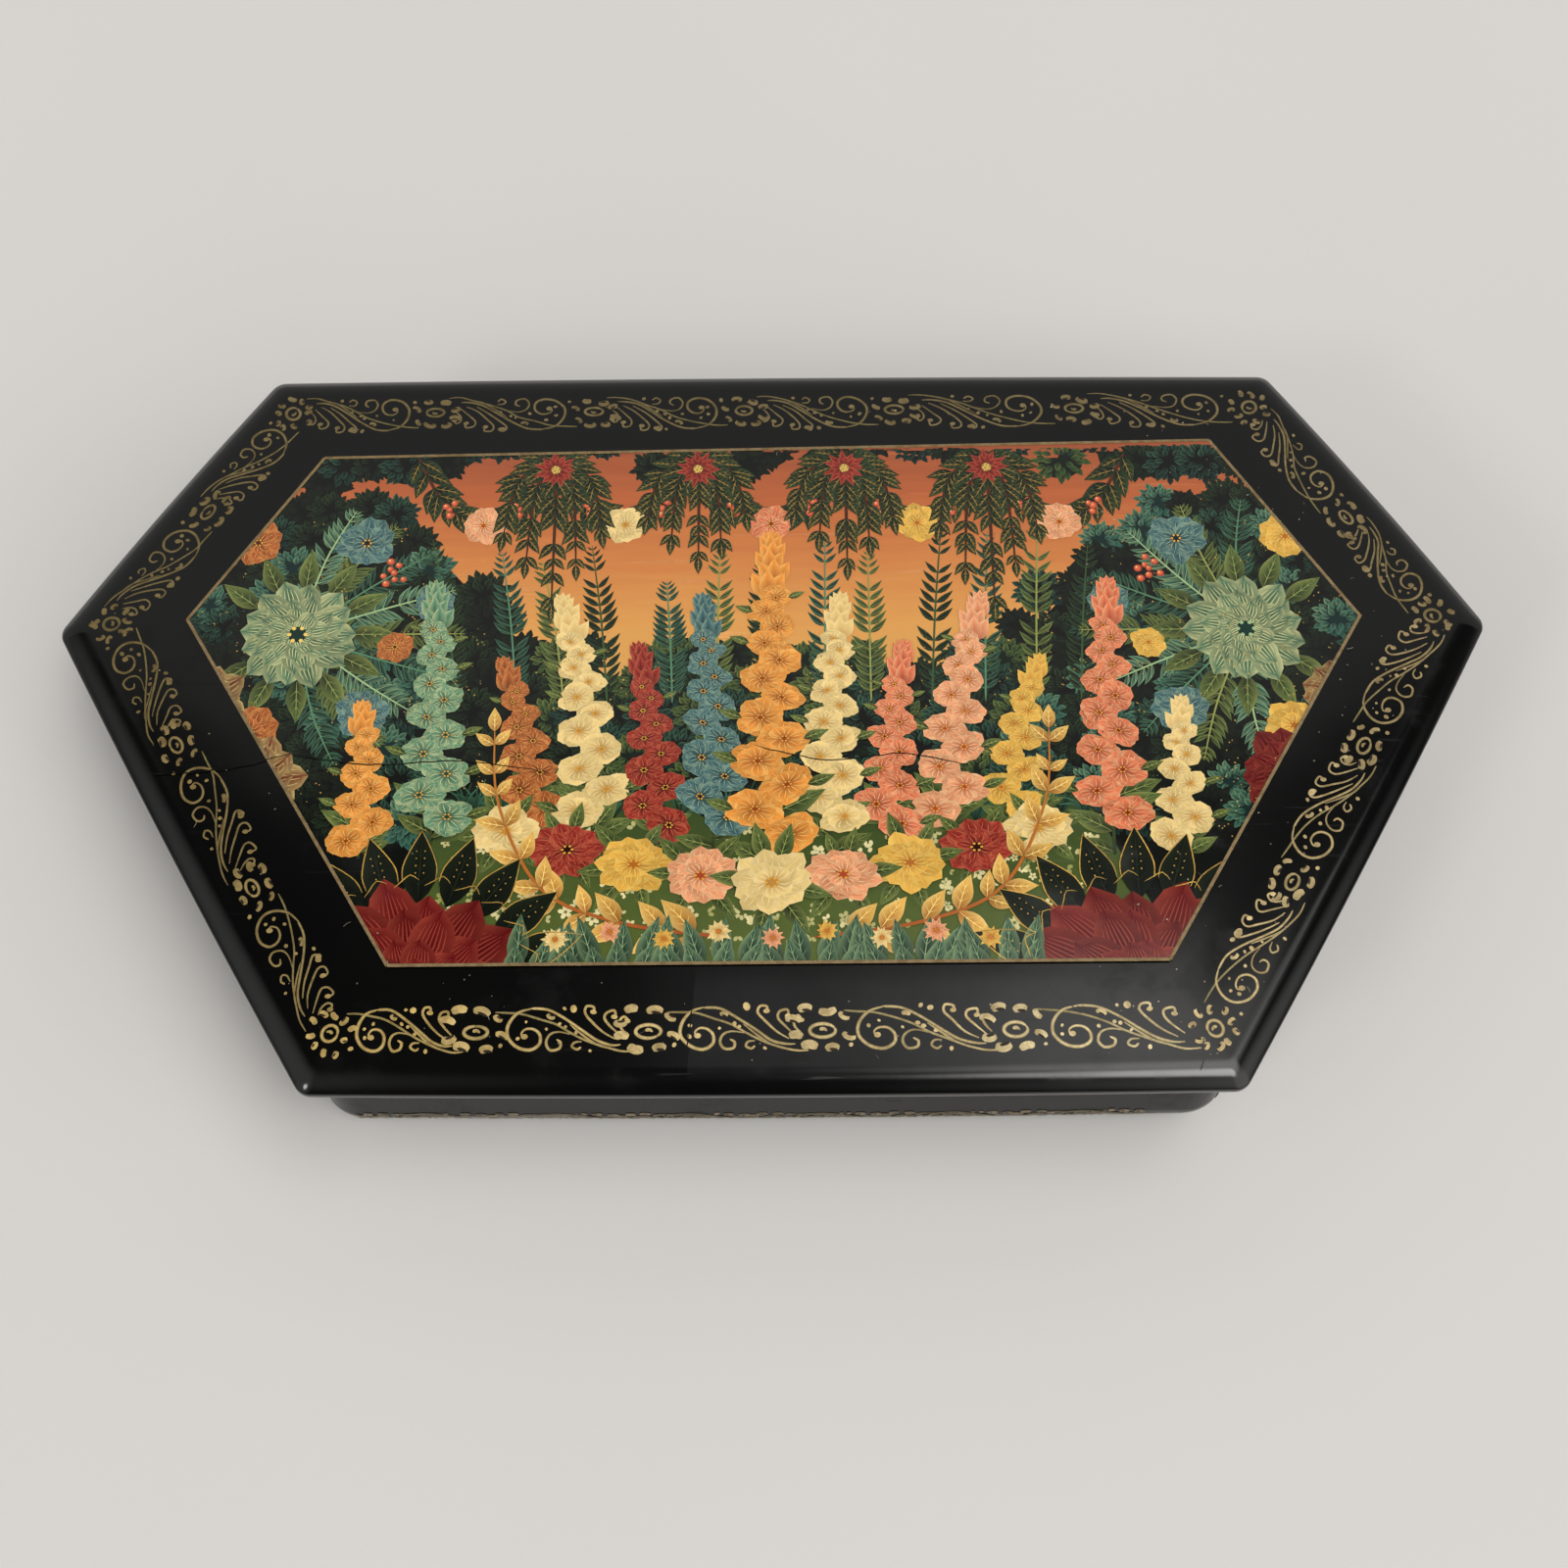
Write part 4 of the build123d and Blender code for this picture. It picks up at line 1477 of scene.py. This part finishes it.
def painted_sheen_mask(recipe, place):
    """Where a sheen of reflected light is painted on the black: right of the front crack, along the front
    edge.
    """
    x, y = recipe.apart(place)["X"], recipe.apart(place)["Y"]
    slant = recipe.maths("MULTIPLY_ADD", y, -SHEEN_SLANT, x)
    masks = (
        recipe.ranged(slant, SHEEN_CRACK * MM, (SHEEN_CRACK + 0.2) * MM),
        recipe.ranged(x, SHEEN_END[0] * MM, SHEEN_END[1] * MM, 1.0, 0.0),
        recipe.ranged(y, SHEEN_BACK[0] * MM, SHEEN_BACK[1] * MM, 1.0, 0.0),
        recipe.ranged(y, SHEEN_FRONT[0] * MM, SHEEN_FRONT[1] * MM),
    )
    sheen = recipe.ranged(recipe.noise(place, 160.0, 4.0), 0.3, 0.7, 0.6, 1.0)
    for mask in masks:
        sheen = recipe.maths("MULTIPLY", sheen, mask)
    return sheen


def red_colour(recipe, place):
    """Cinnabar lacquer with the brush's faint unevenness."""
    cloud = recipe.ranged(recipe.noise(place, 60.0, 4.0), 0.3, 0.7)
    return recipe.mixed(cloud, RED_SHADE, RED_LIGHT)


def black_lacquer(name, inside=False, painted_sheen=False, roughness=(0.12, 0.2), shine=0.5):
    """Deep black lacquer, polished by hand. Inside the walls it gives way to red."""
    material, recipe, shader = new_material(name)
    shader.inputs["Specular IOR Level"].default_value = shine
    place = recipe.place()
    cloud = recipe.ranged(recipe.noise(place, 35.0, 4.0), 0.35, 0.75)
    colour = recipe.mixed(cloud, LACQUER_BLACK, LACQUER_CLOUD)
    # Over the front border, a painted sheen lightens the black where the lid reflects light
    if painted_sheen:
        colour = recipe.mixed(painted_sheen_mask(recipe, place), colour, LACQUER_PAINTED_SHEEN)
    if inside:
        mask = recipe.add("Group", {}, node_tree=INSIDE).outputs["Mask"]
        colour = recipe.mixed(mask, colour, red_colour(recipe, place))
    polished(recipe, shader, colour, *roughness)
    return material


def red_lacquer():
    """The glossy red of the inside."""
    material, recipe, shader = new_material("red_lacquer")
    polished(recipe, shader, red_colour(recipe, recipe.place()), 0.12, 0.28)
    return material


def tempera():
    """Paint in the colours of the brush marks, under clear lacquer that has yellowed."""
    material, recipe, shader = new_material("tempera_under_lacquer")
    bristle = recipe.ranged(recipe.noise(recipe.place(), 700.0), 0.3, 0.75, 0.0, 0.16)
    brushed = recipe.mixed(bristle, recipe.brush_colour(), BRISTLE_SHADE, "MULTIPLY")
    yellowed = recipe.mixed(1.0, brushed, OLD_VARNISH, "MULTIPLY")
    polished(recipe, shader, yellowed, 0.1, 0.22)
    return material


def gold_paint():
    """Powdered gold in varnish, with fine grain and thin places."""
    material, recipe, shader = new_material("gold_paint")
    place = recipe.place()
    grain = recipe.noise(place, 2600.0)
    thin = recipe.ranged(recipe.noise(place, 750.0, 2.0), 0.42, 0.66, 0.0, 0.55)
    worn = recipe.maths("MAXIMUM", recipe.ranged(grain, 0.4, 0.7, 0.0, 0.45), thin)
    recipe.feed(shader, {
        "Base Color": recipe.mixed(worn, recipe.brush_colour(), GOLD_GRAIN, "MULTIPLY"),
        "Roughness": recipe.ranged(grain, 0.3, 0.7, 0.38, 0.52),
        "Metallic": 0.35,
    })
    return material


def dusk_sky():
    """The picture's ground: terracotta above, honey gold below, brushed sideways."""
    material, recipe, shader = new_material("dusk_sky")
    place = recipe.place()
    brushed = recipe.add("Mapping", {"Vector": place, "Scale": (70.0, 700.0, 1.0)}).outputs["Vector"]
    streak = recipe.maths("SUBTRACT", recipe.noise(brushed, 1.0, 4.0), 0.5)
    height = recipe.maths("MULTIPLY_ADD", streak, 8 * MM, recipe.apart(place)["Y"])
    ramp = recipe.add("ValToRGB", {"Fac": recipe.ranged(height, 0.0, SKY_TOP * MM, shape="LINEAR")})
    while len(ramp.color_ramp.elements) < len(SKY_TONES):
        ramp.color_ramp.elements.new(0.5)
    for element, (position, tone) in zip(ramp.color_ramp.elements, SKY_TONES):
        element.position = position
        element.color = (*tone, 1.0)
    polished(recipe, shader, ramp.outputs["Color"], 0.1, 0.22)
    return material


def aged_brass(name, clean, dull):
    """Brass sheet or wire, browned in patches."""
    material, recipe, shader = new_material(name)
    place = recipe.place()
    patch = recipe.ranged(recipe.noise(place, 420.0, 5.0, 0.65), 0.42, 0.66)
    bump = recipe.add("Bump", {"Distance": 0.03 * MM, "Height": recipe.noise(place, 1800.0)})
    recipe.feed(shader, {
        "Base Color": recipe.mixed(patch, clean, dull),
        "Roughness": recipe.ranged(patch, 0.0, 1.0, 0.26, 0.5),
        "Metallic": 1.0,
        "Normal": bump.outputs["Normal"],
    })
    return material


def pale_floor():
    """A matt pale table top."""
    material, recipe, shader = new_material("pale_floor")
    cloud = recipe.ranged(recipe.noise(recipe.place(), 6.0), 0.3, 0.7)
    recipe.feed(shader, {
        "Base Color": recipe.mixed(cloud, TABLE_PALE, TABLE_CLOUD),
        "Roughness": recipe.ranged(cloud, 0.0, 1.0, 0.55, 0.65),
    })
    return material


# Stage

# Half the width of the table, wide enough that its edge is far behind the box in every view
TABLE_HALF = 9000.0

# Soft lamps: towards where, how wide they are full and where they end in degrees, how bright
STUDIO_LAMPS = (
    ((0.29, -0.42, 1.0), 3, 13, 9.5),
    ((0.37, -0.08, 1.0), 9, 20, 2.4),
    ((-0.78, -0.4, 0.62), 16, 44, 0.62),
    ((0.85, -0.7, 0.6), 16, 42, 1.7),
    ((-0.62, -0.62, 0.62), 2, 8, 12.0),
)

# The room's own light behind the box, how much of it the dark front takes away, and where that begins
ROOM_LIGHT = 0.42
FRONT_SHADE = 0.37
SHADE_EDGE = (0.485, 0.525)

# Lit panels overhead: how bright, and their soft edges across and along the room
PANELS = (
    (0.3, (-0.07, -0.05, 0.19, 0.22), (0.0, 0.2, 0.41, 0.44)),
    (1.55, (0.0, 0.17, 0.2, 0.214), (-0.3, -0.1, 0.385, 0.43)),
    (1.3, (0.2, 0.214, 0.5, 0.6), (-0.3, -0.1, 0.348, 0.366)),
)

# The plain backdrop that stands behind the table where a view looks past it
BACKDROP = 0.6


def add_floor():
    """The pale surface that the box stands on."""
    half = TABLE_HALF
    points = [(-half, -half, 0), (half, -half, 0), (half, half, 0), (-half, half, 0)]
    floor = make_mesh("table_top", points, [(0, 1, 2, 3)], [pale_floor()], smooth=False)


def add_camera():
    """The camera at the photograph's place."""
    camera = bpy.data.cameras.new("camera")
    camera.lens = CAMERA_LENS
    camera.sensor_width = 36.0
    camera.clip_start = 0.01
    holder = bpy.data.objects.new("camera", camera)
    bpy.context.scene.collection.objects.link(holder)
    holder.location = [value * MM for value in CAMERA_AT]
    forward = Vector((
        math.sin(CAMERA_YAW) * math.cos(CAMERA_PITCH),
        math.cos(CAMERA_YAW) * math.cos(CAMERA_PITCH),
        -math.sin(CAMERA_PITCH),
    ))
    holder.rotation_euler = forward.to_track_quat("-Z", "Y").to_euler()
    holder.rotation_euler.rotate_axis("Z", -CAMERA_ROLL)
    bpy.context.scene.camera = holder


def lamp_patch(recipe, direction, toward, inner, outer):
    """A soft round patch of the sky, 1 in its middle and 0 outside."""
    nearness = recipe.toward(direction, Vector(toward).normalized())
    return recipe.ranged(nearness, math.cos(math.radians(outer)), math.cos(math.radians(inner)))


def strip(recipe, value, edges):
    """A soft-edged stretch of a value, 1 between its two middle edges."""
    rise = recipe.ranged(value, edges[0], edges[1])
    return recipe.maths("MULTIPLY", rise, recipe.ranged(value, edges[2], edges[3], 1.0, 0.0))


def add_studio():
    """Soft studio light: a bright room behind, a dark one in front, lamps above and at the sides."""
    world = bpy.data.worlds.new("studio")
    bpy.context.scene.world = world
    world.use_nodes = True
    recipe = Recipe(world.node_tree)
    direction = recipe.add("TexCoord", {}).outputs["Generated"]
    parts = recipe.apart(direction)
    up = recipe.maths("MAXIMUM", parts["Z"], 0.02)
    sideways = recipe.maths("DIVIDE", parts["X"], up)
    backwards = recipe.maths("DIVIDE", parts["Y"], up)
    shade = recipe.ranged(backwards, *SHADE_EDGE, 1.0, 0.0)
    level = recipe.maths("MULTIPLY_ADD", shade, -FRONT_SHADE, ROOM_LIGHT)
    for strength, across, along in PANELS:
        panel = recipe.maths("MULTIPLY", strip(recipe, sideways, across), strip(recipe, backwards, along))
        level = recipe.maths("MULTIPLY_ADD", panel, strength, level)
    for toward, inner, outer, strength in STUDIO_LAMPS:
        patch = lamp_patch(recipe, direction, toward, inner, outer)
        level = recipe.maths("MULTIPLY_ADD", patch, strength, level)
    seen = recipe.add("LightPath", {}).outputs["Is Camera Ray"]
    level = recipe.maths("MULTIPLY_ADD", seen, recipe.maths("SUBTRACT", BACKDROP, level), level)
    recipe.feed(world.node_tree.nodes["Background"], {"Color": (1.0, 0.985, 0.96, 1.0), "Strength": level})


# The whole

def dress_node(name, material):
    """Gives a solid of the frame its finish."""
    slots = frame["nodes"][name].data.materials
    slots.clear()
    slots.append(material)


def build():
    """Builds the box's visible surfaces and puts each on the body it moves with."""
    black = black_lacquer("black_lacquer", painted_sheen=True)
    lined = black_lacquer("black_lacquer_lined_red", inside=True, roughness=(0.22, 0.32), shine=0.09)
    red = red_lacquer()
    slab = lid_slab(black, red)
    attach(slab, "lid")
    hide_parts("lid_board")
    dress_node("body_wall", lined)
    dress_node("bottom_board", lined)
    dress_node("closing_frame", red)
    sheet = aged_brass("brass_sheet", srgb(196, 158, 88), srgb(110, 82, 46))
    wire = aged_brass("brass_wire", srgb(180, 142, 78), srgb(92, 68, 40))
    for side in ("left", "right"):
        dress_node(f"{side}_hinge_body_leaf", sheet)
        dress_node(f"{side}_hinge_lid_leaf", sheet)
        dress_node(f"{side}_hinge_pin", wire)
    dress_node("body_leaf_brads", wire)
    dress_node("lid_leaf_brads", wire)

    gilding = gold_paint()
    paints = tempera()
    stack = Stack()
    layers, touches = picture(stack)
    pieces = [picture_ground(dusk_sky())]
    pieces += [layer.piece(paints) for layer in layers]
    pieces += [paint.piece(gilding) for paint in (touches, gold_border(stack), picture_line(stack))]
    chance = random.Random(AGE_HAND)
    pieces += [paint.piece(paints) for paint in (hairline_cracks(stack, chance), dust(stack, chance))]
    for piece in pieces:
        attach(piece, "lid")
    chance = random.Random(BAND_HAND)
    for index in range(6):
        piece = wall_band(index, chance).piece(gilding)
        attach(piece, "box")


bpy.context.scene.view_settings.view_transform = "Standard"
add_camera()
add_floor()
add_studio()
build()

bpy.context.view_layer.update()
